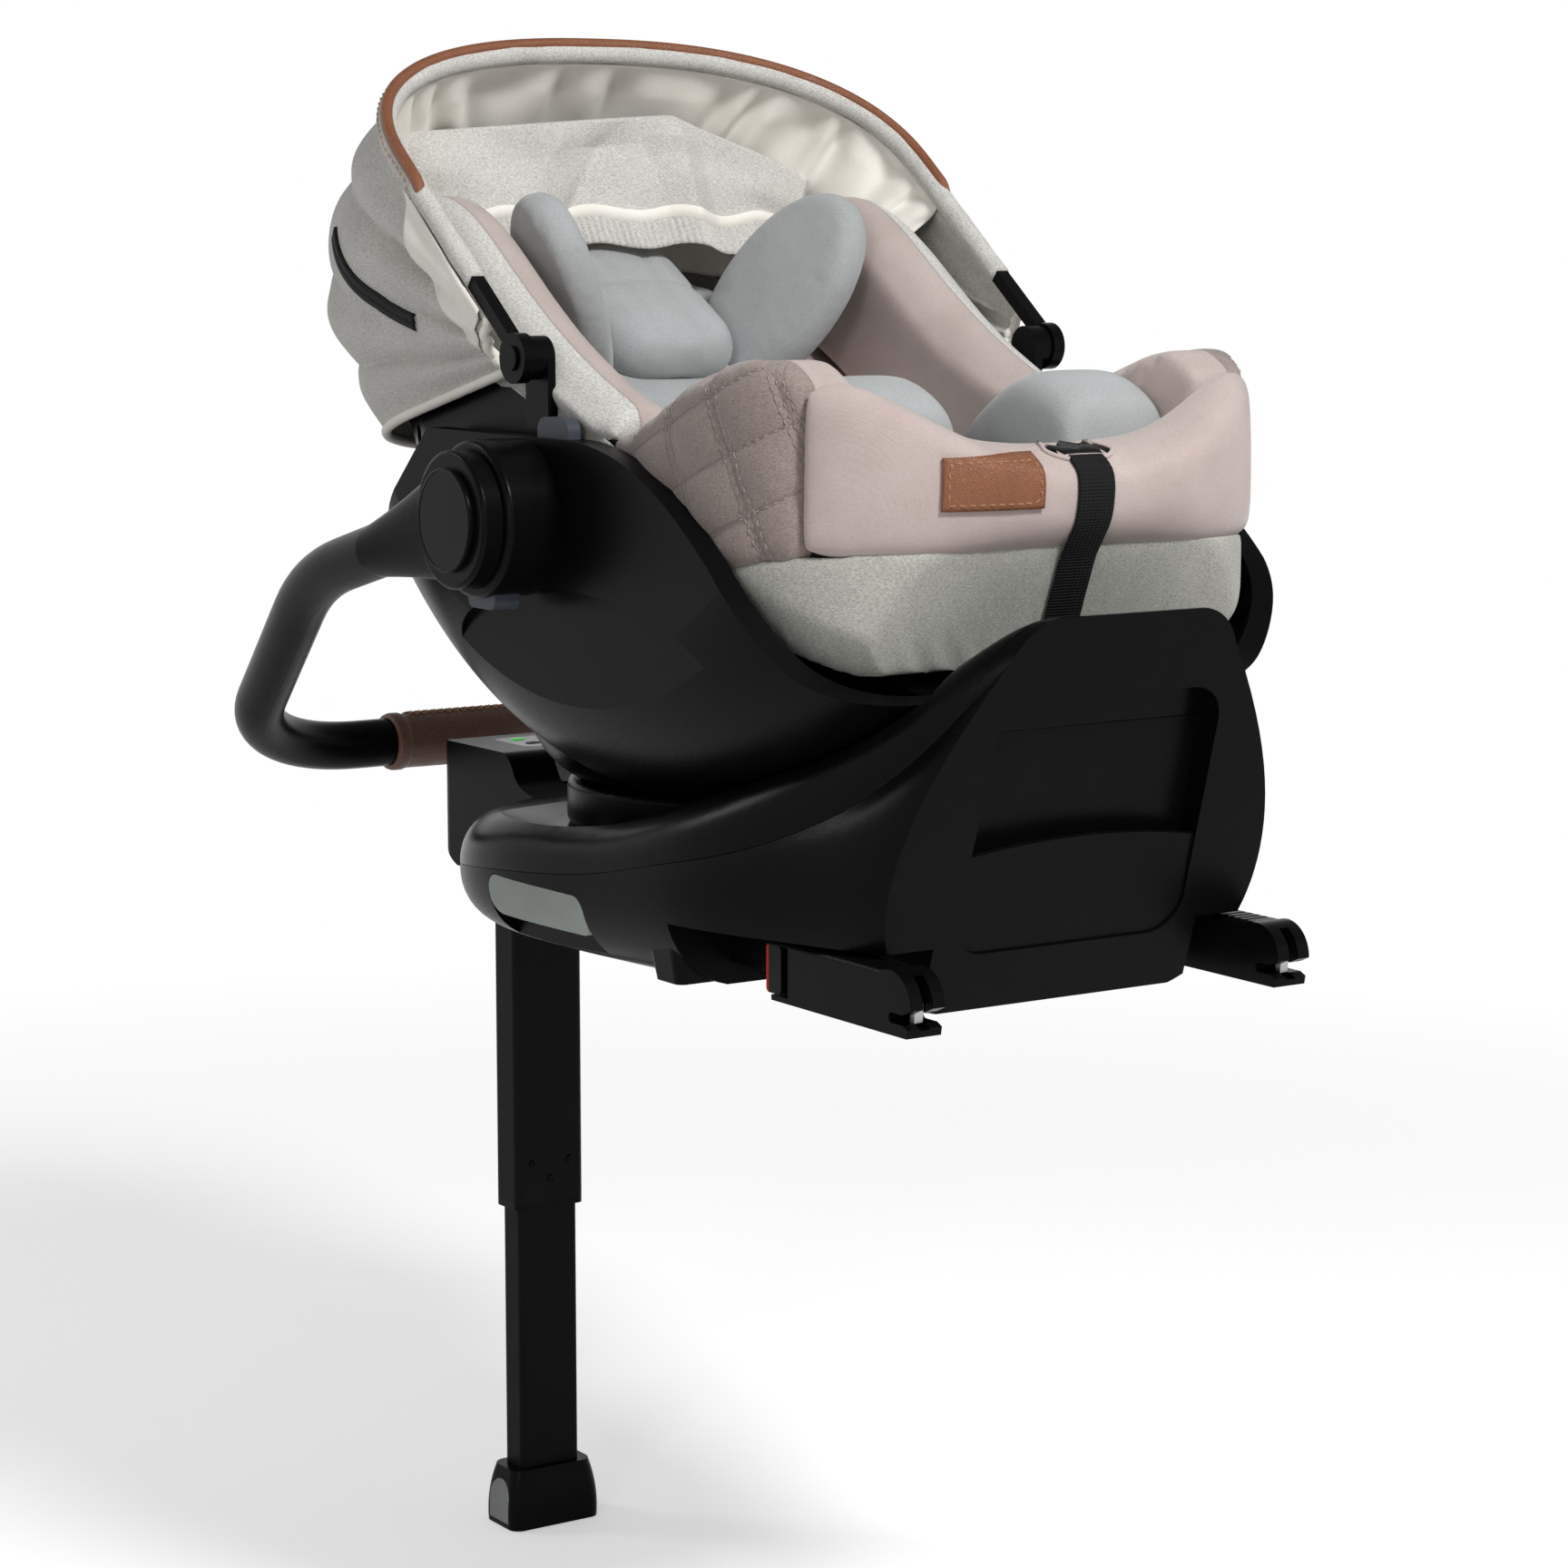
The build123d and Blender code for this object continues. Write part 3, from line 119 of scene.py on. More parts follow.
GRIP_BAND = [
    # in from the end, radius
    (0, 0.0182), (0.0005, 0.0208), (0.003, 0.0217), (0.009, 0.0217), (0.0115, 0.0208), (0.012, 0.0182),
]
SLOT_Z = 0.845
SHOULDER_STRAP = [
    # up the back, across, off the back
    (0.073, 0.013, 0.0252), (0.11, 0.0197, 0.0256), (0.16, 0.029, 0.0256), (0.21, 0.038, 0.0256),
    (0.2285, 0.0413, 0.0254), (0.2312, 0.042, 0.023), (0.2318, 0.042, 0.012), (0.2318, 0.042, 0.001),
]
CROTCH_STRAP = [
    (0.024, 0, 0.0252), (0.014, 0, 0.0254), (0.0055, 0, 0.0252), (0.0030, 0, 0.0235), (0.0026, 0, 0.012),
    (0.0026, 0, 0.001),
]
ADJUSTER_END = [(0.6500, 0, 0.782), (0.6410, 0, 0.760), (0.6340, 0, 0.742), (0.6290, 0, 0.727)]
STRAP_OUTLINE = [
    (-0.5, -0.25), (-0.46, -0.5), (0.46, -0.5), (0.5, -0.25), (0.5, 0.25),
    (0.46, 0.5), (-0.46, 0.5), (-0.5, 0.25),
]
HEM_LINE = [
    (-0.1, 0.885), (0.300, 0.870), (0.335, 0.850), (0.470, 0.790), (0.560, 0.735), (0.600, 0.714),
    (0.750, 0.708),
]


def colour(name, value, words):
    """One colour that a user may change."""
    return FloatVectorProperty(
        name=name, description=words, default=value, size=3, min=0, max=1, subtype="COLOR"
    )


class SeatColours(bpy.types.PropertyGroup):
    """Colours of the seat's finishes."""

    shell: colour("Shell", (0.0028, 0.0028, 0.0031), "Moulded shells, tub and handle")
    leg: colour("Leg", (0.0050, 0.0052, 0.0060), "Painted tubes of the support leg")
    button: colour("Buttons", (0.235, 0.262, 0.238), "Buttons on the base")
    hub_button: colour("Hub buttons", (0.05, 0.058, 0.075), "Buttons and levers at the hubs")
    melange: colour("Melange", (0.63, 0.62, 0.585), "Woven cloth of the canopy")
    # The melange again, made darker: painted shade for the cover below the foot cushion, whose faces turn
    # away from the light
    skirt: colour("Skirt", (0.4536, 0.4526, 0.4095), "Woven cloth below the foot cushion")
    blush: colour("Blush", (0.47, 0.39, 0.365), "Jersey of the rim cushions")
    taupe: colour("Taupe", (0.30, 0.245, 0.22), "Quilted corners")
    mist: colour("Mist", (0.37, 0.39, 0.395), "Jersey of insert and headrest")
    cream: colour("Cream", (0.86, 0.835, 0.77), "Lining and bindings")
    saddle: colour("Saddle", (0.235, 0.080, 0.030), "Leather piping, label and grip")
    webbing: colour("Webbing", (0.006, 0.006, 0.0065), "Straps")
    release: colour("Release", (0.45, 0.02, 0.015), "Red release buttons")
    marker: colour("Markers", (0.22, 0.225, 0.235), "Markers in the foot and unlit lamps")
    taupe_thread: colour("Taupe thread", (0.36, 0.30, 0.275), "Stitches of the quilted corners")
    tan_thread: colour("Tan thread", (0.42, 0.20, 0.10), "Stitches on leather")


class SeatSizes(bpy.types.PropertyGroup):
    """Sizes of the soft goods."""

    voxel: FloatProperty(
        name="Cushion mesh", description="Mesh size of the cushions", default=0.0045, min=0.003, max=0.01,
        unit="LENGTH",
    )
    swell: FloatProperty(
        name="Swell", description="Most that a cushion's skin may move as it fills", default=0.004, min=0.0,
        max=0.03, unit="LENGTH",
    )
    pressure: FloatProperty(
        name="Fill pressure", description="Pressure inside the cushions", default=4.0, min=0
    )
    steps: IntProperty(name="Fill steps", description="Frames of the filling", default=16, min=1, max=40)
    stitch: FloatProperty(
        name="Stitch", description="Length of one stitch", default=0.0042, min=0.001, max=0.02, unit="LENGTH"
    )
    piping: FloatProperty(
        name="Piping", description="Radius of the leather piping", default=0.0042, min=0.001, max=0.01,
        unit="LENGTH",
    )


def colours():
    """The colours held by the scene."""
    return bpy.context.scene.infant_seat_colours


def sizes():
    """The sizes held by the scene."""
    return bpy.context.scene.infant_seat_sizes


# Finishes


class Value:
    """A shader socket that can stand in a sum."""

    def __init__(self, finish, socket):
        self.finish = finish
        self.socket = socket

    def maths(self, operation, first, second=None):
        """One Math node on values, sockets or both."""
        parts = {0: first} if second is None else {0: first, 1: second}
        return self.finish.node("ShaderNodeMath", {"operation": operation}, parts)

    def __add__(self, other):
        return self.maths("ADD", self, other)

    __radd__ = __add__

    def __sub__(self, other):
        return self.maths("SUBTRACT", self, other)

    def __rsub__(self, other):
        return self.maths("SUBTRACT", other, self)

    def __mul__(self, other):
        return self.maths("MULTIPLY", self, other)

    __rmul__ = __mul__

    def __pow__(self, other):
        return self.maths("POWER", self, other)

    def sine(self):
        return self.maths("SINE", self)

    def wrap(self):
        return self.maths("FRACT", self)

    def larger(self, other):
        return self.maths("MAXIMUM", self, other)

    def smaller(self, other):
        return self.maths("MINIMUM", self, other)

    def turn_from(self, other):
        return self.maths("ARCTAN2", self, other)

    def size(self):
        return self.maths("ABSOLUTE", self)


class Finish:
    """One procedural material."""

    def __init__(self, name):
        self.material = bpy.data.materials.new(name)
        self.material.use_nodes = True
        self.tree = self.material.node_tree
        self.tree.nodes.clear()
        self.shader = self.tree.nodes.new("ShaderNodeBsdfPrincipled")
        self.output = self.tree.nodes.new("ShaderNodeOutputMaterial")
        self.show(self.shader.outputs[0])

    def show(self, shader):
        """Puts a shader on the surface."""
        self.tree.links.new(shader, self.output.inputs[0])

    def other_shader(self, **sockets):
        """A second Principled shader, with its sockets set."""
        first = self.shader
        self.shader = self.tree.nodes.new("ShaderNodeBsdfPrincipled")
        self.set(**sockets)
        made, self.shader = self.shader, first
        return made.outputs[0]

    def blend_shaders(self, share, first, second):
        """Mixes two shaders."""
        mix = self.tree.nodes.new("ShaderNodeMixShader")
        self.feed(mix.inputs[0], share)
        self.tree.links.new(first, mix.inputs[1])
        self.tree.links.new(second, mix.inputs[2])
        return mix.outputs[0]

    def feed(self, socket, value):
        """Sets a socket to a value or links it."""
        if isinstance(value, Value):
            self.tree.links.new(value.socket, socket)
        else:
            socket.default_value = value

    def node(self, kind, settings=None, sockets=None, out=0):
        """Adds a node: its settings first, then its sockets. Gives one of its outputs."""
        made = self.tree.nodes.new(kind)
        for key, value in (settings or {}).items():
            if key == "stops":
                for element, (place, shade) in zip(made.color_ramp.elements, value):
                    element.position = place
                    element.color = shade
            else:
                setattr(made, key, value)
        for key, value in (sockets or {}).items():
            self.feed(made.inputs[key], value)
        return Value(self, made.outputs[out])

    def set(self, **sockets):
        """Sets the shader's sockets, named with _ for spaces."""
        for key, value in sockets.items():
            self.feed(self.shader.inputs[key.replace("_", " ")], value)
        return self

    def place(self):
        """Where a point is on its piece."""
        return self.node("ShaderNodeTexCoord", out="Object")

    def axes(self):
        """The three coordinates of that place."""
        split = self.tree.nodes.new("ShaderNodeSeparateXYZ")
        self.feed(split.inputs[0], self.place())
        return [Value(self, socket) for socket in split.outputs]

    def noise(self, scale, detail=2.0, rough=0.5, stretch=(1, 1, 1)):
        """Cloudy noise of a given scale."""
        vector = self.place()
        if stretch != (1, 1, 1):
            vector = self.node("ShaderNodeMapping", sockets={0: vector, "Scale": stretch})
        sockets = {"Vector": vector, "Scale": scale, "Detail": detail, "Roughness": rough}
        return self.node("ShaderNodeTexNoise", sockets=sockets)

    def steps(self, value, low, high):
        """Spreads a narrow span of a value over 0 to 1."""
        return self.node("ShaderNodeMapRange", sockets={0: value, 1: low, 2: high})

    def mix(self, share, first, second):
        """Mixes two colours."""
        return self.node("ShaderNodeMix", {"data_type": "RGBA"}, {0: share, 6: first, 7: second}, out=2)

    def bump(self, height, strength, distance):
        """A bump that follows a height."""
        return self.node(
            "ShaderNodeBump", sockets={"Height": height, "Strength": strength, "Distance": distance}
        )

    def weave(self, pitch):
        """A plain weave, without a map: two crossing sets of threads."""
        x, y, z = self.axes()
        turns = 2 * math.pi / pitch
        uneven = self.noise(210.0, 1.0) * 9.0
        warp = ((x + z * 0.62) * turns + uneven).sine()
        weft = ((y + z * 0.78) * turns + uneven).sine()
        return warp * weft


def shade(rgb, factor=1.0, warm=0.0):
    """A colour made darker or lighter, or a little warmer, with its alpha."""
    red, green, blue = rgb
    parts = (red * factor * (1 + warm), green * factor, blue * factor * (1 - warm))
    return (*(min(1, part) for part in parts), 1.0)


def seen_rays(paint):
    """1 for what the camera sees, also by a mirror or through glass."""
    kinds = ("Camera", "Glossy", "Transmission")
    rays = [paint.node("ShaderNodeLightPath", out=f"Is {kind} Ray") for kind in kinds]
    return rays[0].larger(rays[1]).larger(rays[2])


def moulded(name, tone, rough, grain, depth, gleam):
    """Moulded plastic: a fine spark-eroded grain and faint flow marks."""
    paint = Finish(name)
    rgb = getattr(colours(), tone)
    cloud = paint.noise(9.0, 3.0)
    speck = paint.noise(grain, 2.0)
    paint.set(
        Base_Color=paint.mix(paint.steps(cloud, 0.3, 0.7), shade(rgb, 0.82), shade(rgb, 1.25)),
        Roughness=rough + (cloud - 0.5) * 0.12 + (speck - 0.5) * 0.10,
        Normal=paint.bump(speck, depth, 0.0003),
        Specular_IOR_Level=gleam,
    )
    return paint.material


def edged_button(name):
    """Black plastic with a red edge at the end that is pushed. It is named as its button is."""
    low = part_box(name)[0]
    paint = Finish(name)
    x, y, z = paint.axes()
    speck = paint.noise(900.0, 2.0)
    edge = paint.steps(x, low.x + 0.0030, low.x + 0.0024)
    paint.set(
        Base_Color=paint.mix(edge, shade(colours().shell), shade(colours().release)),
        Roughness=0.34 + speck * 0.12,
        Normal=paint.bump(speck, 0.3, 0.0003),
        Specular_IOR_Level=0.09,
    )
    return paint.material


def brushed_steel(name):
    """Bare steel, brushed along Y."""
    paint = Finish(name)
    brush = paint.noise(220.0, 3.0, 0.6, (1, 14, 1))
    paint.set(
        Base_Color=paint.mix(brush, (0.36, 0.36, 0.37, 1), (0.56, 0.56, 0.57, 1)),
        Metallic=1.0,
        Roughness=0.26 + brush * 0.18,
        Normal=paint.bump(brush, 0.15, 0.0002),
    )
    return paint.material


def green_lens(name):
    """A lamp's lens, faintly lit."""
    paint = Finish(name)
    glow = paint.noise(700.0)
    paint.set(
        Base_Color=paint.mix(glow, (0.02, 0.22, 0.03, 1), (0.05, 0.42, 0.07, 1)),
        Roughness=0.3,
        Emission_Color=(0.05, 0.6, 0.08, 1),
        Emission_Strength=0.6,
    )
    return paint.material


def quilt_lines(paint):
    """1 on the sewn lines of a quilted corner, 0 between them."""
    x, y, z = paint.axes()
    turn = (x - CORNER_START[0]).larger(0.0).turn_from(y.size() - CORNER_START[1])
    around = x.smaller(CORNER_START[0]) + turn * CORNER_RADIUS - QUILT_MIDDLE[0]
    height = z - QUILT_MIDDLE[1]
    across = around * math.cos(QUILT_LEAN) + height * math.sin(QUILT_LEAN)
    up = height * math.cos(QUILT_LEAN) - around * math.sin(QUILT_LEAN)
    lines = None
    for place, pitch, shifts in ((across, QUILT_PITCH, QUILT_GROUP), (up, QUILT_CROSS, (0.0,))):
        for shift in shifts:
            from_line = (((place - shift) * (1 / pitch) + 0.5).wrap() - 0.5) * pitch
            line = paint.steps(from_line.size(), 0.0012, 0.0003)
            lines = line if lines is None else lines.larger(line)
    return lines


def cloth(name, tone, pitch, fleck, depth, sheen, dark, light, outer_tone=None, seam_y=0.0, quilted=False):
    """Woven or knitted cloth: threads, flecks of darker yarn and slow unevenness.
    Beyond seam_y to either side it is sewn to another cloth, the outer one."""
    paint = Finish(name)
    rgb = getattr(colours(), tone)
    threads = paint.weave(pitch)
    yarn = paint.noise(520.0, 2.0, 0.6, (1.0, 1.0, 2.6))
    cloud = paint.noise(26.0, 3.0)
    share = paint.steps(yarn * fleck + cloud * (1 - fleck), 0.34, 0.66)
    shown_tone = paint.mix(share, shade(rgb, dark, 0.02), shade(rgb, light))
    if outer_tone:
        outer = getattr(colours(), outer_tone)
        x, y, z = paint.axes()
        beyond = y.size() - seam_y
        other = paint.mix(paint.steps(yarn, 0.36, 0.64), shade(outer, 0.72, 0.02), shade(outer, 1.1))
        shown_tone = paint.mix(paint.steps(beyond, -0.0003, 0.0003), shown_tone, other)
        # A dark line along the seam: painted shade of the seam's crease.
        seam = paint.steps(beyond.size(), 0.0012, 0.0004)
        shown_tone = paint.mix(seam * 0.45, shown_tone, shade(rgb, 0.35))
    height = threads * 0.5 + yarn * 0.7
    if quilted:
        lines = quilt_lines(paint) * paint.steps(beyond, 0.0005, 0.003)
        # The sewn lines are darkened: painted shade in their grooves.
        shown_tone = paint.mix(lines * 0.35, shown_tone, shade(outer, 0.45))
        height = height - lines * 3.0
    paint.set(
        Base_Color=shown_tone,
        Roughness=0.82 + (yarn - 0.5) * 0.16,
        Normal=paint.bump(height, depth, 0.0006),
        Sheen_Weight=sheen,
        Sheen_Roughness=0.5,
        Specular_IOR_Level=0.25,
    )
    return paint.material


def webbing(name):
    """Ribbed black webbing."""
    paint = Finish(name)
    x, y, z = paint.axes()
    ribs = ((z + x * 0.4) * (2 * math.pi / 0.0021)).sine()
    cords = (y * (2 * math.pi / 0.0032)).sine()
    yarn = paint.noise(700.0)
    paint.set(
        Base_Color=paint.mix(yarn, shade(colours().webbing, 0.7), shade(colours().webbing, 1.7)),
        Roughness=0.6 + yarn * 0.2,
        Normal=paint.bump(ribs * 0.6 + cords * 0.8 + yarn * 0.4, 0.6, 0.0006),
        Specular_IOR_Level=0.14,
    )
    return paint.material


def leather(name, tone, depth):
    """Leather: pebbled grain, pores and worn lighter crests. Depth makes its colour darker."""
    paint = Finish(name)
    rgb = [depth * part for part in getattr(colours(), tone)]
    cells = paint.node(
        "ShaderNodeTexVoronoi", {"feature": "DISTANCE_TO_EDGE"}, {"Vector": paint.place(), "Scale": 620.0}
    )
    grain = paint.steps(cells, 0.0, 0.35)
    cloud = paint.noise(40.0, 3.0)
    paint.set(
        Base_Color=paint.mix(grain * 0.5 + cloud * 0.5, shade(rgb, 0.55), shade(rgb, 1.3)),
        Roughness=0.52 - grain * 0.12 + (cloud - 0.5) * 0.2,
        Normal=paint.bump(grain, 0.5, 0.0005),
    )
    return paint.material


JERSEY = (0.0011, 0.55, 0.3, 0.3, 0.88, 1.1)
THREAD = (0.0006, 0.5, 0.3, 0.25, 0.72, 1.12)
FINISHES = {
    # plastics: colour, roughness, scale and depth of the grain, gleam
    "satin_shell": (moulded, "shell", 0.29, 900.0, 0.35, 0.05),
    "deck_shell": (moulded, "shell", 0.24, 1300.0, 0.2, 0.06),
    "gloss_cap": (moulded, "shell", 0.2, 1500.0, 0.08, 0.2),
    "leg_paint": (moulded, "leg", 0.46, 1400.0, 0.25, 0.05),
    "grey_button": (moulded, "button", 0.5, 900.0, 0.35, 0.2),
    "slate_button": (moulded, "hub_button", 0.45, 900.0, 0.35, 0.2),
    "red_button": (moulded, "release", 0.4, 900.0, 0.35, 0.25),
    "marker_plastic": (moulded, "marker", 0.55, 900.0, 0.35, 0.2),
    "anchor_button_left": (edged_button,),
    "anchor_button_right": (edged_button,),
    "steel": (brushed_steel,),
    "lamp_green": (green_lens,),
    # cloths: colour, pitch of the threads, fleck, depth, sheen, dark and light yarn, cloth beyond the seam
    "melange_cloth": (cloth, "melange", 0.0016, 0.85, 0.55, 0.15, 0.66, 1.12),
    # the cover's cloth: a darker copy of the melange, with painted shade
    "skirt_cloth": (cloth, "skirt", 0.0016, 0.85, 0.55, 0.15, 0.62, 1.14),
    "blush_jersey": (cloth, "blush", *JERSEY),
    "rim_jersey": (cloth, "blush", *JERSEY, "melange", RIM_SEAM_Y),
    "corner_jersey": (cloth, "blush", *JERSEY, "taupe", CORNER_SEAM_Y, True),
    "mist_jersey": (cloth, "mist", 0.0011, 0.6, 0.3, 0.3, 0.86, 1.12),
    "cream_lining": (cloth, "cream", 0.0009, 0.4, 0.2, 0.2, 0.93, 1.04),
    "taupe_thread": (cloth, "taupe_thread", *THREAD),
    "tan_thread": (cloth, "tan_thread", *THREAD),
    "black_webbing": (webbing,),
    "saddle_leather": (leather, "saddle", 1.0),
    "grip_leather": (leather, "saddle", 0.42),
}
made_finishes = {}


def finish_of(name):
    """The material of a finish, made when it is first asked for."""
    if name not in made_finishes:
        maker, *values = FINISHES[name]
        made_finishes[name] = maker(name, *values)
    return made_finishes[name]


# Meshes


def piece(name, form, finish, body):
    """A new mesh from a form's points and faces."""
    points, faces = form
    mesh = bpy.data.meshes.new(name)
    mesh.from_pydata([tuple(p) for p in points], [], faces)
    mesh.validate()
    return shown(bpy.data.objects.new(name, mesh), finish, body)


def shown(obj, finish, body):
    """Links a piece, dresses it and lets it ride on a body, if one is named."""
    if obj.name not in bpy.context.scene.collection.objects:
        bpy.context.scene.collection.objects.link(obj)
    obj.data.materials.clear()
    obj.data.materials.append(finish_of(finish))
    obj.data.polygons.foreach_set("use_smooth", [True] * len(obj.data.polygons))
    if body:
        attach(obj, body)
    return obj


def baked(obj):
    """Applies a piece's modifiers to its mesh."""
    bpy.context.view_layer.update()
    graph = bpy.context.evaluated_depsgraph_get()
    mesh = bpy.data.meshes.new_from_object(obj.evaluated_get(graph))
    obj.modifiers.clear()
    old = obj.data
    obj.data = mesh
    bpy.data.meshes.remove(old)
    mesh.name = obj.name
    return obj


def corners(obj, what="co"):
    """A mesh's points, or another vector of each point, as an array."""
    flat = np.zeros(len(obj.data.vertices) * 3)
    obj.data.vertices.foreach_get(what, flat)
    return flat.reshape(-1, 3)


def move_to(obj, points):
    """Puts a mesh's points where an array says."""
    obj.data.vertices.foreach_set("co", np.asarray(points, float).ravel())
    obj.data.update()


def normals(obj):
    """A mesh's point normals as an array."""
    return corners(obj, "normal")


def relaxed(obj, rounds, share=0.5):
    """Evens out a mesh by moving each point towards its neighbours' mean."""
    edges = np.zeros(len(obj.data.edges) * 2, int)
    obj.data.edges.foreach_get("vertices", edges)
    edges = edges.reshape(-1, 2)
    points = corners(obj)
    count = np.bincount(edges.ravel(), minlength=len(points))[:, None]
    for _ in range(rounds):
        total = np.zeros_like(points)
        np.add.at(total, edges[:, 0], points[edges[:, 1]])
        np.add.at(total, edges[:, 1], points[edges[:, 0]])
        points = points + share * (total / np.maximum(count, 1) - points)
    move_to(obj, points)
    return obj


def block_out(node, name, voxel):
    """A copy of a CAD solid with an even mesh, ready to be filled."""
    obj = bpy.data.objects.new(name, NODES[node].data.copy())
    bpy.context.scene.collection.objects.link(obj)
    remesh = obj.modifiers.new("even", "REMESH")
    remesh.mode = "VOXEL"
    remesh.voxel_size = voxel
    return baked(obj)


def refitted(obj, node, grow):
    """Stretches an eased mesh back to its solid's box, a little larger or smaller."""
    low, high = [np.array(corner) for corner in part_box(node)]
    points = corners(obj)
    first, last = points.min(axis=0), points.max(axis=0)
    move_to(obj, low - grow + (points - first) * ((high - low + 2 * grow) / (last - first)))
    return obj


def fill(objects):
    """Fills cushions with air until their skin is tight, all in one run."""
    starts = {}
    for obj in objects:
        starts[obj.name] = corners(obj)
        settings = obj.modifiers.new("fill", "CLOTH").settings
        settings.quality = 4
        settings.mass = 0.2
        settings.tension_stiffness = 12
        settings.compression_stiffness = 12
        settings.bending_stiffness = 0.6
        settings.use_pressure = True
        settings.uniform_pressure_force = sizes().pressure
        settings.effector_weights.gravity = 0
    scene = bpy.context.scene
    for step in range(1, sizes().steps + 1):
        scene.frame_set(step)
    for obj in objects:
        baked(obj)
        start = starts[obj.name]
        shift = corners(obj) - start
        length = np.linalg.norm(shift, axis=1, keepdims=True)
        limit = sizes().swell
        move_to(obj, start + shift * np.minimum(1, limit / np.maximum(length, 1e-9)))
    scene.frame_set(1)


def refined(obj):
    """Subdivides a mesh smoothly, once."""
    modifier = obj.modifiers.new("refine", "SUBSURF")
    modifier.levels = 1
    modifier.render_levels = 1
    return baked(obj)


def mirrored(obj, name):
    """The other side's copy of a piece."""
    twin = bpy.data.objects.new(name, obj.data.copy())
    bpy.context.scene.collection.objects.link(twin)
    twin.data.transform(Matrix.Scale(-1, 4, (0, 1, 0)))
    twin.data.flip_normals()
    return twin


def sheet_grid(rows, closed=False):
    """Points and faces of a grid, row by row."""
    wide = len(rows[0])
    points = [p for row in rows for p in row]
    faces = []
    last = wide if closed else wide - 1
    for r in range(len(rows) - 1):
        for c in range(last):
            d = (c + 1) % wide
            faces.append((r * wide + c, r * wide + d, (r + 1) * wide + d, (r + 1) * wide + c))
    return points, faces


def capped(rows):
    """Points and faces of a closed grid with both ends shut."""
    points, faces = sheet_grid(rows, closed=True)
    wide = len(rows[0])
    faces.append(tuple(range(wide))[::-1])
    faces.append(tuple(range((len(rows) - 1) * wide, len(rows) * wide)))
    return points, faces


def circle(count):
    """Angles spaced evenly round a circle."""
    return [2 * math.pi * k / count for k in range(count)]


def cut_from(obj):
    """Gives a sheet back as it is."""
    return obj


def thick(obj, depth, offset=-1.0):
    """Gives a sheet its cloth's thickness."""
    modifier = obj.modifiers.new("thick", "SOLIDIFY")
    modifier.thickness = depth
    modifier.offset = offset
    modifier.use_even_offset = True
    return baked(obj)


def tube(points, radius, sides=10, closed=False):
    """Points and faces of a round tube along a line of points."""
    line = [Vector(p) for p in points]
    rows = []
    up = None
    count = len(line)
    for k in range(count):
        before = line[k - 1] if k or closed else line[k]
        after = line[(k + 1) % count] if k + 1 < count or closed else line[k]
        along = (after - before).normalized()
        if up is None:
            up = along.orthogonal().normalized()
        up = (up - along * up.dot(along)).normalized()
        side = along.cross(up)
        rows.append([line[k] + (up * math.cos(t) + side * math.sin(t)) * radius for t in circle(sides)])
    if not closed:
        return capped(rows)
    points, faces = sheet_grid(rows, closed=True)
    last = (count - 1) * sides
    faces += [(last + s, last + (s + 1) % sides, (s + 1) % sides, s) for s in range(sides)]
    return points, faces


def strap(points, width, depth):
    """Points and faces of flat webbing along a line of points, flat across Y."""
    line = [Vector(p) for p in points]
    across = Vector((0, 1, 0))
    rows = []
    for k, point in enumerate(line):
        along = (line[min(k + 1, len(line) - 1)] - line[max(k - 1, 0)]).normalized()
        off = along.cross(across).normalized()
        rows.append([point + across * (a * width) + off * (b * depth) for a, b in STRAP_OUTLINE])
    return capped(rows)


def spaced(points, gap):
    """A line of points, spaced evenly."""
    line = np.array([list(p) for p in points], float)
    length = np.concatenate([[0], np.cumsum(np.linalg.norm(np.diff(line, axis=0), axis=1))])
    places = np.linspace(0, length[-1], max(2, int(round(length[-1] / gap)) + 1))
    return [Vector([np.interp(s, length, line[:, k]) for k in range(3)]) for s in places]


def sewn(name, lines, finish, body, surface=None, radius=0.0006, lift=0.0003, gap=1.55):
    """A row of stitches along each line, laid on a surface where one is given."""
    points = []
    faces = []
    step = sizes().stitch
    for line in lines:
        dots = spaced(line, step * gap)
        for first, second in zip(dots, dots[1:]):
            end = first + (second - first) / gap
            spots = []
            for spot in (first, (first + end) / 2, end):
                normal = Vector((0, 0, 1))
                if surface is not None:
                    _, spot, normal, _ = surface.closest_point_on_mesh(spot)
                spots.append((spot, normal))
            along = spots[2][0] - spots[0][0]
            if along.length < 1e-5:
                continue
            along.normalize()
            base = len(points)
            for k, (spot, normal) in enumerate(spots):
                side = along.cross(normal).normalized()
                high = radius * (1.5 if k == 1 else 0.4)
                middle = spot + normal * (lift if k == 1 else -0.2 * lift)
                points += [middle + side * radius, middle + normal * high]
                points += [middle - side * radius, middle - normal * radius]
            for ring in range(2):
                a = base + 4 * ring
                faces += [(a + s, a + (s + 1) % 4, a + 4 + (s + 1) % 4, a + 4 + s) for s in range(4)]
            faces += [(base + 3, base + 2, base + 1, base), (base + 8, base + 9, base + 10, base + 11)]
    return piece(name, (points, faces), finish, body)


def on_back(up, across, off):
    """A point on the slope of the backrest: up it, across to +Y, and off it."""
    return BACK_FOOT + UP_BACK * up + OFF_BACK * off + Vector((0, across, 0))


def on_front(obj, y, z, lift):
    """A point on the +X face of a piece, a little off it."""
    hit, spot, normal, _ = obj.ray_cast(Vector((0.9, y, z)), Vector((-1, 0, 0)))
    if not hit:
        _, spot, normal, _ = obj.closest_point_on_mesh(Vector((0.66, y, z)))
    return spot + normal * lift


def line_z(points, x):
    """Height of a side-view line at one X."""
    xs, zs = zip(*points)
    return np.interp(x, xs, zs)


def ripple(points, size, seed=0.0):
    """Smooth noise at each point, from -1 to 1."""
    return np.array([noise.noise(Vector(p) / size + Vector((seed, 0, seed))) for p in points])


# Operators


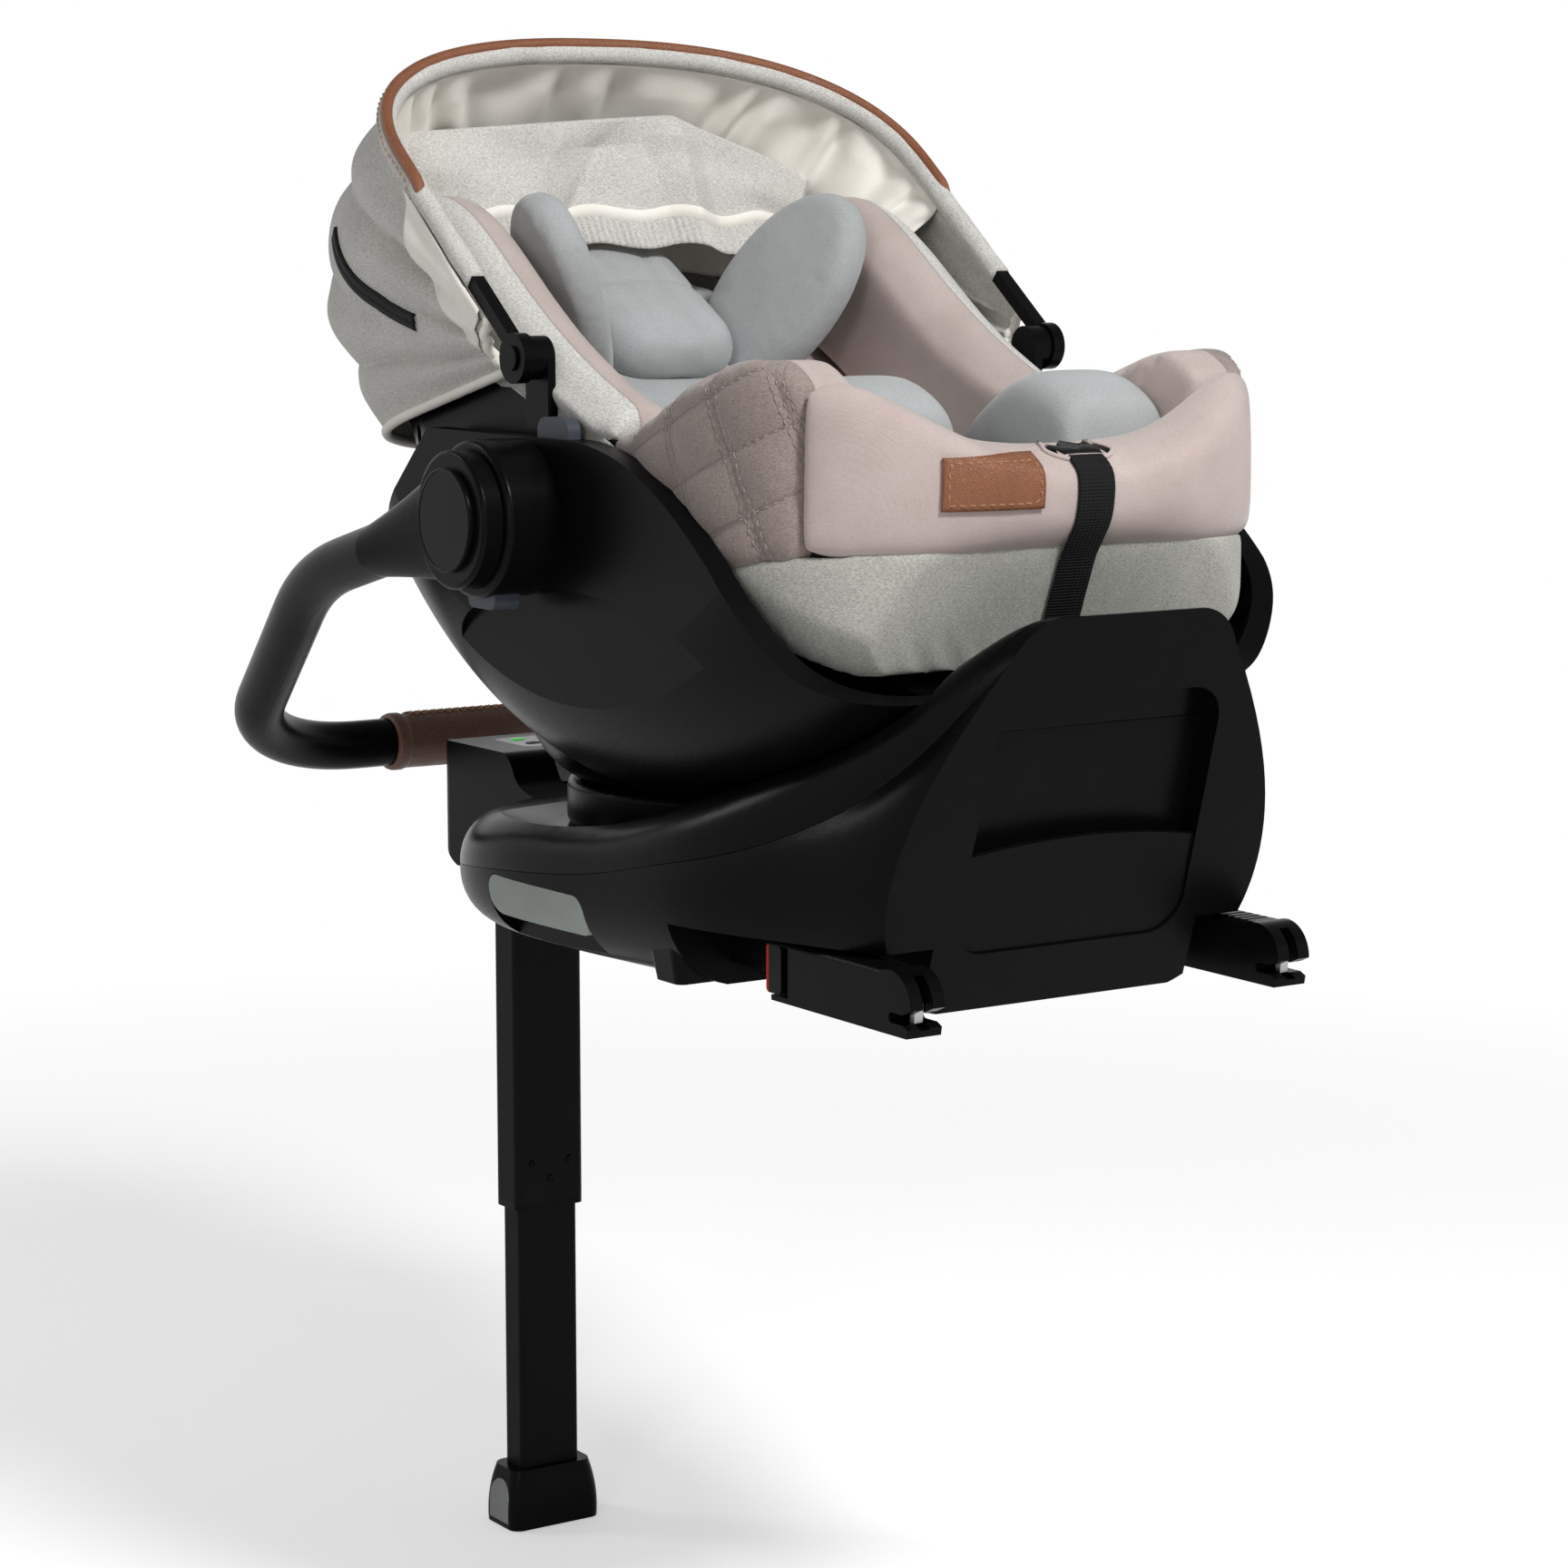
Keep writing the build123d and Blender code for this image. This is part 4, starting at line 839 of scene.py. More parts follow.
class DressShells(bpy.types.Operator):
    """Gives the moulded shells, tub, hubs, handle and buttons their plastics"""

    bl_idname = "infant_seat.shells"
    bl_label = "Shells and buttons"

    def execute(self, context):
        finishes = {
            "satin_shell": [
                "base_lower_shell", "rear_pocket_panel", "rear_bottom_cover", "front_housing", "outer_shell",
                "hub_left", "hub_right", "handle_bow", "turntable", "bearing_race", "inner_shell",
                "canopy_pivots", "canopy_bow", "buckle", "anchor_arm_left",
                "anchor_arm_right", "leg_collar", "leg_foot",
            ],
            "deck_shell": ["base_upper_shell", "hub_cap_left", "hub_cap_right"],
            "gloss_cap": ["indicator_panel"],
            "grey_button": [
                "side_button_left", "side_button_right", "seat_release_button", "leg_height_button"
            ],
            "slate_button": [
                "handle_button_left", "handle_button_right", "release_lever_left", "release_lever_right"
            ],
            "red_button": ["buckle_button"],
            "leg_paint": ["leg_outer_tube", "leg_inner_tube"],
            "steel": ["leg_hinge_pin", "anchor_claw_left", "anchor_claw_right"],
            "marker_plastic": ["foot_markers"],
        }
        for finish, names in finishes.items():
            for name in names:
                self.dress(name, finish)
        for name in ("anchor_button_left", "anchor_button_right"):
            self.dress(name, name)
        return {"FINISHED"}

    def dress(self, node, finish):
        """Gives one CAD node its finish."""
        data = NODES[node].data
        data.materials.clear()
        data.materials.append(finish_of(finish))


class AddFittings(bpy.types.Operator):
    """Adds the screws, lamps and rims that are too small for the solids"""

    bl_idname = "infant_seat.fittings"
    bl_label = "Small fittings"

    def execute(self, context):
        for k, (y, z) in enumerate([(-0.016, 0.281), (0.0, 0.268), (0.016, 0.281)]):
            self.screw(f"leg_screw_{k}", Vector((0.0172, y, z)))
        low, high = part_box("indicator_panel")
        middle = (low + high) / 2
        for k, (dx, dy) in enumerate([(-0.013, -0.016), (-0.013, 0.016), (0.009, -0.016), (0.009, 0.016)]):
            finish = "lamp_green" if k < 2 else "marker_plastic"
            self.lamp(f"indicator_lamp_{k}", Vector((middle.x + dx, dy, high.z)), finish)
        for side, sign in SIDES:
            self.cap_rim(f"hub_rim_{side}", sign)
        return {"FINISHED"}

    def screw(self, name, spot):
        """A small countersunk screw with a cross slot, in the leg's +X face."""
        radius = 0.0031
        slot = 0.42
        rows = []
        for scale, depth in ((1.0, 0.0), (0.92, 0.0007), (0.5, 0.0009), (slot, 0.0001), (0.02, 0.0)):
            ring = []
            for angle in circle(20):
                star = radius * scale * (1 + (0.45 * math.cos(4 * angle) if scale == slot else 0))
                ring.append(spot + Vector((depth, star * math.cos(angle), star * math.sin(angle))))
            rows.append(ring)
        piece(name, capped(rows), "satin_shell", "leg")

    def lamp(self, name, spot, finish):
        """A small rounded lens on the indicator panel."""
        rows = []
        for scale, height in ((1.0, 0.0), (0.9, 0.0006), (0.4, 0.0009), (0.05, 0.00095)):
            ring = []
            for angle in circle(24):
                x = 0.0034 * math.copysign(abs(math.cos(angle)) ** 0.6, math.cos(angle))
                y = 0.0058 * math.copysign(abs(math.sin(angle)) ** 0.6, math.sin(angle))
                ring.append(spot + Vector((x * scale, y * scale, height)))
            rows.append(ring)
        piece(name, capped(rows), finish, "base")

    def cap_rim(self, name, sign):
        """The raised rim round a hub's disc."""
        y = sign * (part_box("hub_cap_left")[1].y - 0.0009)
        radius = 0.0318
        x, z = HUB_MIDDLE
        line = [(x + radius * math.cos(angle), y, z + radius * math.sin(angle)) for angle in circle(72)]
        piece(name, tube(line, 0.0013, 8, closed=True), "satin_shell", "carrier")


class WrapGrip(bpy.types.Operator):
    """Wraps the handle's bar in laced leather"""

    bl_idname = "infant_seat.grip"
    bl_label = "Leather grip"

    def execute(self, context):
        x, z = HANDLE_BAR
        rings = 60
        rows = []
        for k in range(rings):
            y = GRIP_HALF * (2 * k / (rings - 1) - 1)
            ease = min(1.0, (GRIP_HALF - abs(y)) / 0.006)
            ring = []
            for angle in circle(48):
                seam = math.exp(-(((angle - math.pi / 2) / 0.07) ** 2))
                crease = 0.0003 * noise.noise(Vector((y * 60, math.cos(angle) * 2, math.sin(angle) * 2)))
                radius = 0.0186 + 0.0021 * math.sqrt(max(ease, 0)) - 0.0011 * seam + crease
                ring.append((x + radius * math.cos(angle), y, z + radius * math.sin(angle)))
            rows.append(ring)
        form = sheet_grid(rows, closed=True)
        sleeve = piece("grip_sleeve", form, "grip_leather", "handle")
        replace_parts(sleeve, "handle_grip")
        for side, sign in SIDES:
            self.end_band(f"grip_band_{side}", sign)
        self.lacing(x, z)
        return {"FINISHED"}

    def end_band(self, name, sign):
        """A folded band round one end of the grip."""
        x, z = HANDLE_BAR
        rows = []
        for offset, radius in GRIP_BAND:
            y = sign * (GRIP_HALF + 0.001 - offset)
            rows.append([(x + radius * math.cos(t), y, z + radius * math.sin(t)) for t in circle(48)])
        piece(name, sheet_grid(rows, closed=True), "grip_leather", "handle")

    def lacing(self, x, z):
        """Crossed stitches over the seam along the top of the grip."""
        points, faces = [], []
        count = 15
        start = 0.016 - GRIP_HALF
        pitch = -2 * start / count
        for k in range(count):
            y = start + pitch * k
            for flip in (1, -1):
                line = []
                for s in range(7):
                    share = s / 6
                    angle = math.pi / 2 + flip * (share - 0.5) * 0.62
                    radius = 0.0208 + 0.0006 * math.sin(math.pi * share) + (0.0004 if flip > 0 else 0)
                    out, rise = radius * math.cos(angle), radius * math.sin(angle)
                    line.append((x + out, y + pitch * share, z + rise))
                more, sides = tube(line, 0.0007, 6)
                faces += [tuple(i + len(points) for i in f) for f in sides]
                points += more
        piece("grip_lacing", (points, faces), "tan_thread", "handle")


class SewCover(bpy.types.Operator):
    """Makes the lining of the bucket and the woven cover round it, with its gathered hem"""

    bl_idname = "infant_seat.cover"
    bl_label = "Seat cover and lining"

    def execute(self, context):
        lining = block_out("seat_foam", "seat_lining", 0.007)
        relaxed(lining, 3)
        points = corners(lining)
        move_to(lining, points + normals(lining) * (0.0012 * ripple(points, 0.05))[:, None])
        shown(lining, "blush_jersey", "seat")
        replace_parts(lining, "seat_foam")

        cover = block_out("seat_cover", "seat_jacket", 0.0028)
        refitted(relaxed(cover, 14), "seat_cover", 0.0)
        points = corners(cover)
        outward = normals(cover)
        outward[:, 2] = 0
        above_hem = points[:, 2] - line_z(HEM_LINE, points[:, 0])
        along = points[:, 0] + points[:, 1] * 0.7
        gather = np.exp(-((above_hem / 0.018) ** 2)) * np.sin(along * 2 * math.pi / 0.016)
        slow = ripple(points, 0.07, 3.0) * 0.0010
        move_to(cover, points + outward * (gather * 0.0012 + slow)[:, None])
        relaxed(cover, 1, 0.3)
        # The cover wears the darker copy of the melange, its shade painted into the colour.
        shown(cover, "skirt_cloth", "seat")
        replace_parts(cover, "seat_cover")
        return {"FINISHED"}


class StuffCushions(bpy.types.Operator):
    """Fills the rim cushions, the quilted corners, the insert and the headrest"""

    bl_idname = "infant_seat.cushions"
    bl_label = "Cushions"

    def execute(self, context):
        voxel = sizes().voxel
        plan = [
            # node, piece, finish, body, slot of the cloth, mesh size, rounds of easing, puff
            ("back_bolster_left", "rim_bolster_left", "rim_jersey", "seat", "pink", voxel, 10, 0.001),
            ("quilt_corner_left", "corner_quilt_left", "corner_jersey", "seat", "taupe", 0.004, 16, 0.002),
            ("foot_bolster", "foot_roll", "blush_jersey", "seat", "pink", voxel, 22, 0.002),
            ("insert_pad", "infant_insert", "mist_jersey", "seat", "blue", voxel, 5, 0.0),
            ("leg_pad_left", "thigh_pad_left", "mist_jersey", "seat", "blue", voxel, 16, 0.0),
            ("headrest_frame", "headrest_cover", "mist_jersey", "headrest", "blue", 0.004, 3, 0.001),
            ("headrest_pad", "head_pad", "mist_jersey", "headrest", "blue", 0.004, 8, 0.0),
            ("headrest_wing_left", "head_wing_left", "mist_jersey", "headrest", "blue", 0.004, 5, 0.0),
            ("shoulder_pads", "shoulder_pads_cloth", "mist_jersey", "seat", "blue", 0.003, 3, 0.0),
        ]
        made = {}
        for node, name, finish, body, slot, mesh, rounds, puff in plan:
            made[node] = refitted(relaxed(block_out(node, name, mesh), rounds), node, puff)
        fill(list(made.values()))
        self.round_roll(made["foot_bolster"])
        self.quilt(made["quilt_corner_left"])
        self.channel(made["headrest_pad"])
        for node, name, finish, body, slot, mesh, rounds, puff in plan:
            cushion = made[node]
            if node != "quilt_corner_left":
                refined(relaxed(cushion, 2, 0.4))
            self.put_on(cushion, node, finish, body, slot)
            if node.endswith("_left"):
                twin = mirrored(cushion, name.replace("_left", "_right"))
                self.put_on(twin, node.replace("_left", "_right"), finish, body, slot)
        return {"FINISHED"}

    def put_on(self, cushion, node, finish, body, slot):
        """Dresses a cushion and puts it in its solid's place."""
        shown(cushion, finish, body)
        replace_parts(cushion, node)

    def quilt(self, corner):
        """Draws the sewn lines of a corner in, so that it swells between them."""
        refined(corner)
        points = corners(corner)
        across, up = quilt_place(points)
        swell = np.abs(np.sin(across * math.pi / QUILT_PITCH) * np.sin(up * math.pi / QUILT_CROSS)) ** 0.5
        outer = np.clip((points[:, 1] - CORNER_SEAM_Y) / 0.012, 0, 1)
        points += normals(corner) * ((0.0034 * swell - 0.0014) * outer)[:, None]
        low = points[:, 2].min()
        points[:, 2] -= 0.005 * np.clip(1 - (points[:, 2] - low) / 0.05, 0, 1)
        move_to(corner, points)

    def round_roll(self, roll):
        """Rounds the outer face of the foot cushion, most at half its height."""
        points = corners(roll)
        low, high = points.min(axis=0), points.max(axis=0)
        level = 2 * (points[:, 2] - low[2]) / (high[2] - low[2]) - 1
        middle = 1 - (np.abs(points[:, 1]) / high[1]) ** 4
        outer = np.clip(normals(roll)[:, 0], 0, 1)
        points[:, 0] += 0.009 * outer * middle * (1 - level**2)
        points[:, 2] -= 0.005 * np.clip(-level, 0, 1)
        move_to(roll, points)

    def channel(self, pad):
        """Sews two long channels and one cross line into the headrest's pad."""
        points = corners(pad)
        local = points - np.array(BACK_FOOT)
        up = local @ np.array(UP_BACK)
        off = local @ np.array(OFF_BACK)
        dent = np.zeros(len(points))
        for line in (points[:, 1] - 0.020, points[:, 1] + 0.020, up - 0.372):
            dent = np.maximum(dent, np.exp(-((line / 0.0028) ** 2)))
        top = np.clip((off - 0.022) / 0.01, 0, 1)
        move_to(pad, points - np.outer(0.0035 * dent * top, np.array(OFF_BACK)))


def quilt_place(points):
    """Where a point of a corner lies along the quilt's two sets of lines."""
    x, y, z = points[:, 0], np.abs(points[:, 1]), points[:, 2]
    turn = np.arctan2(np.maximum(x - CORNER_START[0], 0), np.maximum(y - CORNER_START[1], 0.001))
    around = np.minimum(x, CORNER_START[0]) + CORNER_RADIUS * turn - QUILT_MIDDLE[0]
    height = z - QUILT_MIDDLE[1]
    across = around * math.cos(QUILT_LEAN) + height * math.sin(QUILT_LEAN)
    up = height * math.cos(QUILT_LEAN) - around * math.sin(QUILT_LEAN)
    return across, up


class ThreadHarness(bpy.types.Operator):
    """Lays the harness, the strap between the legs and the adjuster strap"""

    bl_idname = "infant_seat.harness"
    bl_label = "Harness"

    def execute(self, context):
        for side, sign in SIDES:
            line = [on_back(up, sign * across, off) for up, across, off in SHOULDER_STRAP]
            belt = self.belt(f"shoulder_strap_{side}", strap(line, 0.025, 0.0015))
            if sign > 0:
                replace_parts(belt, "harness_straps")
        line = [on_back(*place) for place in CROTCH_STRAP]
        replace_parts(self.belt("crotch_webbing", strap(line, 0.025, 0.0015)), "crotch_strap")
        foot = bpy.data.objects["foot_roll"]
        line = [on_front(foot, 0, SLOT_Z + 0.001, -0.008), on_front(foot, 0, SLOT_Z, -0.001)]
        line += [on_front(foot, 0, SLOT_Z - 0.003 - 0.0045 * k, 0.0016) for k in range(11)]
        line += [Vector(p) for p in ADJUSTER_END]
        form = strap(spaced(line, 0.004), 0.027, 0.0016)
        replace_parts(self.belt("adjuster_webbing", form), "adjuster_strap")
        return {"FINISHED"}

    def belt(self, name, form):
        """One piece of webbing on the seat."""
        return piece(name, form, "black_webbing", "seat")


def canopy_row(angle):
    """The canopy's half width, side and crown at one angle, smooth between its sections."""
    angles = [row[0] for row in CANOPY_ROWS]
    last = len(angles) - 1
    k = next((i for i, a in enumerate(angles[1:]) if angle <= a), last - 1)
    share = (angle - angles[k]) / (angles[k + 1] - angles[k])
    values = []
    for column in (1, 2, 3):
        p = [CANOPY_ROWS[max(0, min(last, k + d))][column] for d in (-1, 0, 1, 2)]
        square = 2 * p[0] - 5 * p[1] + 4 * p[2] - p[3]
        cube = 3 * p[1] - p[0] - 3 * p[2] + p[3]
        values.append(0.5 * (2 * p[1] + (p[2] - p[0]) * share + square * share**2 + cube * share**3))
    return values


def canopy_point(angle, across, inset=0.0):
    """A point on the canopy. Across runs from -1 at the right hem over the crown to 1 at the left hem."""
    half, side, crown = canopy_row(angle)
    half -= inset
    reach = abs(across)
    if reach > 1 - CANOPY_STRAIGHT:
        y = half
        r = CANOPY_OPEN + (side - CANOPY_OPEN) * (1 - reach) / CANOPY_STRAIGHT
    else:
        turn = (math.pi / 2) * (1 - reach / (1 - CANOPY_STRAIGHT))
        power = 2 / CROWN_SQUARENESS
        y = half * max(math.cos(turn), 0) ** power
        r = side + (crown - inset - side) * max(math.sin(turn), 0) ** power
    swing = math.radians(angle)
    x = CANOPY_PIVOT[0] + r * math.cos(swing)
    z = CANOPY_PIVOT[1] + r * math.sin(swing)
    return Vector((x, math.copysign(y, across), z))


def zip_angle(reach):
    """The angle at which the vent's zip runs, at one reach to the side."""
    share = (reach - ZIP_SPAN[0]) / (ZIP_SPAN[1] - ZIP_SPAN[0])
    return 164.0 + 8.0 * share + 1.6 * math.sin(math.pi * max(0.0, min(1.0, share)))


class DrapeCanopy(bpy.types.Operator):
    """Drapes the canopy's cloth, lining, inner panel, piping and bindings over its bow"""

    bl_idname = "infant_seat.canopy"
    bl_label = "Canopy"

    def execute(self, context):
        swing = (CANOPY_FRONT, CANOPY_REAR, 130)
        hood, grid = self.cloth_sheet(
            "canopy_hood", swing, (1.0, 220), self.hood_shift, "melange_cloth", 0.002
        )
        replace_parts(hood, "canopy_fabric")
        trims = []
        for side, sign in SIDES:
            trims.append(self.side_flap(f"canopy_flap_{side}", sign))
            trims.append(self.vent_zip(f"vent_zip_{side}", hood, sign))
        trims += self.bindings()
        cut_from(hood)
        swing = (CANOPY_FRONT + 0.4, CANOPY_FRONT + 30, 60)
        lining, grid = self.cloth_sheet(
            "canopy_lining", swing, (0.74, 260), self.lining_shift, "cream_lining", 0.001
        )
        cut_from(lining)
        for cloth_piece in [hood, lining, *trims]:
            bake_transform(cloth_piece)
        for cloth_piece in self.inner_panel():
            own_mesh(cloth_piece)
        self.sleeve_and_piping()
        return {"FINISHED"}

    def cloth_sheet(self, name, swing, span, shift, finish, depth):
        """A sheet on the canopy's form, moved in or out by a rule, with the grid that it was cut as."""
        first, last, rows = swing
        reach, wide = span
        grid = []
        for r in range(rows + 1):
            down = r / rows
            angle = first + (last - first) * down
            grid.append([shift(angle, reach * (2 * c / wide - 1), down) for c in range(wide + 1)])
        return thick(piece(name, sheet_grid(grid), finish, None), depth), grid

    def hood_shift(self, angle, across, down):
        """The outer cloth: taut at the bow, hanging in heavy folds at the sides and the back."""
        spot = canopy_point(angle, across)
        side = min(1.0, max(0.0, abs(across) - 0.30) / 0.22)
        low = min(1.0, (1 - abs(across)) / 0.26)
        slack = max(0.0, math.sin(math.pi * min(1, down))) ** 0.6
        drift = 0.20 * math.sin(5 * across + 1) + 0.22 * noise.noise(Vector((across * 4, down * 3, 2)))
        swell = abs(math.sin(math.pi * (CANOPY_FOLDS * down + drift))) ** 0.75
        from_zip = (angle - zip_angle(abs(across))) / 8.0
        from_ends = min(abs(across) - ZIP_SPAN[0], ZIP_SPAN[1] - abs(across))
        slack *= 1 - math.exp(-from_zip * from_zip) * max(0.0, min(1.0, 1 + from_ends / 0.09))
        folds = slack * ((1 - swell) * (0.003 + 0.010 * side * low) - swell * 0.006 * side * low)
        small = noise.noise(spot * 24) * 0.0022 * slack
        out = spot - CANOPY_MIDDLE
        out.y *= 1.6
        out.normalize()
        return spot - out * (0.0015 + folds + small)

    def lining_shift(self, angle, across, down):
        """The cream lining under the bow: a plain band, then small uneven gathers."""
        spot = canopy_point(angle, across, 0.008 + 0.022 * math.sin(math.pi / 2 * min(1.0, 2 * down)) ** 2)
        gather = math.sin(across * 62 + 5 * noise.noise(Vector((across * 7, down * 1.5, 0))))
        pulled = min(1.0, down / 0.16) * (1 - 0.5 * down)
        out = (spot - CANOPY_MIDDLE).normalized()
        return spot - out * (0.0052 * gather * pulled)

    def inner_panel(self):
        """The large folded panel inside, with the closed zip and the ribbed strip below it."""
        wide, tall = 120, 48
        tops = spaced(PANEL_TOP, 0.352 / wide)[: wide + 1]
        feet = spaced(PANEL_FOOT, 0.312 / wide)[: wide + 1]
        count = min(len(tops), len(feet))
        grid = []
        for r in range(tall + 1):
            down = r / tall
            grid.append([self.panel_spot(tops[c], feet[c], c / (count - 1), down) for c in range(count)])
        panel = piece("canopy_inner_panel", sheet_grid(grid), "melange_cloth", "canopy")
        thick(panel, 0.0018, 0)
        foot = grid[-1]
        band, strip = [], []
        for r in range(9):
            share = r / 8
            bulge = 0.0015 * math.sin(math.pi * share)
            band.append([p + Vector((0.003 + bulge, 0, 0.002 - 0.009 * share)) for p in foot])
            row = []
            for p in spaced(foot, 0.0009):
                rib = 0.0009 * math.sin(2 * math.pi * p.y / 0.0045)
                row.append(p + Vector((0.0025 + 0.012 * share + rib, 0, -0.005 - 0.020 * share)))
            strip.append(row)
        trims = []
        plan = (("canopy_zip_band", band, "cream_lining"), ("canopy_ribbed_strip", strip, "melange_cloth"))
        for name, rows, finish in plan:
            trim = piece(name, sheet_grid(rows), finish, "canopy")
            trims.append(thick(trim, 0.001, 0))
        return [cut_from(panel), *trims]

    def panel_spot(self, top, foot, across, down):
        """A point of the inner panel: two sharp folds from its upper corner, and a rolled top edge."""
        spot = top.lerp(foot, down)
        roll = 0.022 * max(0.0, 1 - down / 0.07) ** 2
        corner = 0.010 * max(0.0, 1 - across / 0.09)
        valley = 0.016 * max(0.0, 1 - abs(across - 0.55 + 0.14 * down) / 0.13) * min(1.0, 3 * down)
        ridge = 0.011 * max(0.0, 1 - abs(across - 0.65 - 0.05 * down) / 0.07) * min(1.0, 4 * down)
        soft = 0.006 * noise.noise(Vector((across * 5, down * 2.2, 4)))
        hang = 0.003 * math.cos(across * math.pi * 9) * down**3
        return spot + Vector((ridge + soft - roll - corner - valley, 0, hang - 0.25 * roll))

    def side_flap(self, name, sign):
        """The cream facing that shows at the front edge of one side, above the pivot."""
        rows = []
        for r in range(9):
            row = []
            for c in range(49):
                reach = 0.70 + 0.28 * c / 48
                width = 0.030 * min(1.0, 3.2 * (c / 48)) ** 0.8 * (r / 8)
                radius = CANOPY_OPEN + (CANOPY_ROWS[0][2] - CANOPY_OPEN) * (1 - reach) / CANOPY_STRAIGHT
                angle = CANOPY_FRONT + math.degrees(width / radius)
                down = (angle - CANOPY_FRONT) / (CANOPY_REAR - CANOPY_FRONT)
                lift = 0.0032 + 0.0012 * math.sin(9 * reach + 2 * r / 8)
                row.append(self.hood_shift(angle, sign * reach, down) + Vector((0, sign * lift, 0)))
            rows.append(row)
        return thick(piece(name, sheet_grid(rows), "cream_lining", None), 0.0014, 0)

    def vent_zip(self, name, hood, sign):
        """The closed zip of the vent, laid on the cloth of one side."""
        rows = []
        for k in range(73):
            across = sign * (ZIP_SPAN[0] + (ZIP_SPAN[1] - ZIP_SPAN[0]) * k / 72)
            angle = zip_angle(abs(across))
            middle = canopy_point(angle, across)
            radius = math.hypot(middle.x - CANOPY_PIVOT[0], middle.z - CANOPY_PIVOT[1])
            row = []
            for step, lift in ZIP_PROFILE:
                target = canopy_point(angle + math.degrees(0.0058 * step / radius), across)
                _, spot, normal, _ = hood.closest_point_on_mesh(target)
                row.append(spot + normal * lift)
            rows.append(row)
        return thick(piece(name, sheet_grid(rows), "black_webbing", None), 0.0008, 0)

    def sleeve_and_piping(self):
        """The sleeve of cloth round the bow, and the leather piping along it."""
        sleeve_line = []
        piping_line = []
        for c in range(161):
            across = BOW_REACH * (2 * c / 160 - 1)
            sleeve_line.append(canopy_point(CANOPY_FRONT, across, 0.0045) + CANOPY_AHEAD * 0.0045)
            ease = 0.3 + 0.7 * min(1.0, (BOW_REACH - abs(across)) / 0.04)
            spot = canopy_point(CANOPY_FRONT, across * PIPING_REACH, 0.0022)
            piping_line.append(spot + CANOPY_AHEAD * (0.0105 * ease))
        sleeve = piece("bow_sleeve", tube(sleeve_line, 0.0072, 14), "melange_cloth", "canopy")
        moved = corners(sleeve)
        move_to(sleeve, moved + normals(sleeve) * (0.0006 * ripple(moved, 0.02))[:, None])
        form = tube(piping_line, sizes().piping, 12)
        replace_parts(piece("bow_piping", form, "saddle_leather", "canopy"), "canopy_trim")
        edge = []
        for spot in piping_line:
            edge.append(spot - CANOPY_AHEAD * 0.0055 + (spot - CANOPY_MIDDLE).normalized() * 0.003)
        sewn("piping_stitches", [edge], "tan_thread", "canopy", sleeve)

    def bindings(self):
        """The cream binding along the canopy's open edges."""
        steps = [k / 60 for k in range(61)]
        angles = [CANOPY_FRONT + (CANOPY_REAR - CANOPY_FRONT) * down for down in steps]
        edges = {"hem_back": [self.hood_shift(CANOPY_REAR, 2 * c / 150 - 1, 1.0) for c in range(151)]}
        for side, sign in SIDES:
            edges[f"hem_{side}"] = [self.hood_shift(a, float(sign), down) for a, down in zip(angles, steps)]
        made = []
        for name, line in edges.items():
            made.append(piece(f"canopy_{name}", tube(line, 0.0034, 10), "cream_lining", None))
        return made


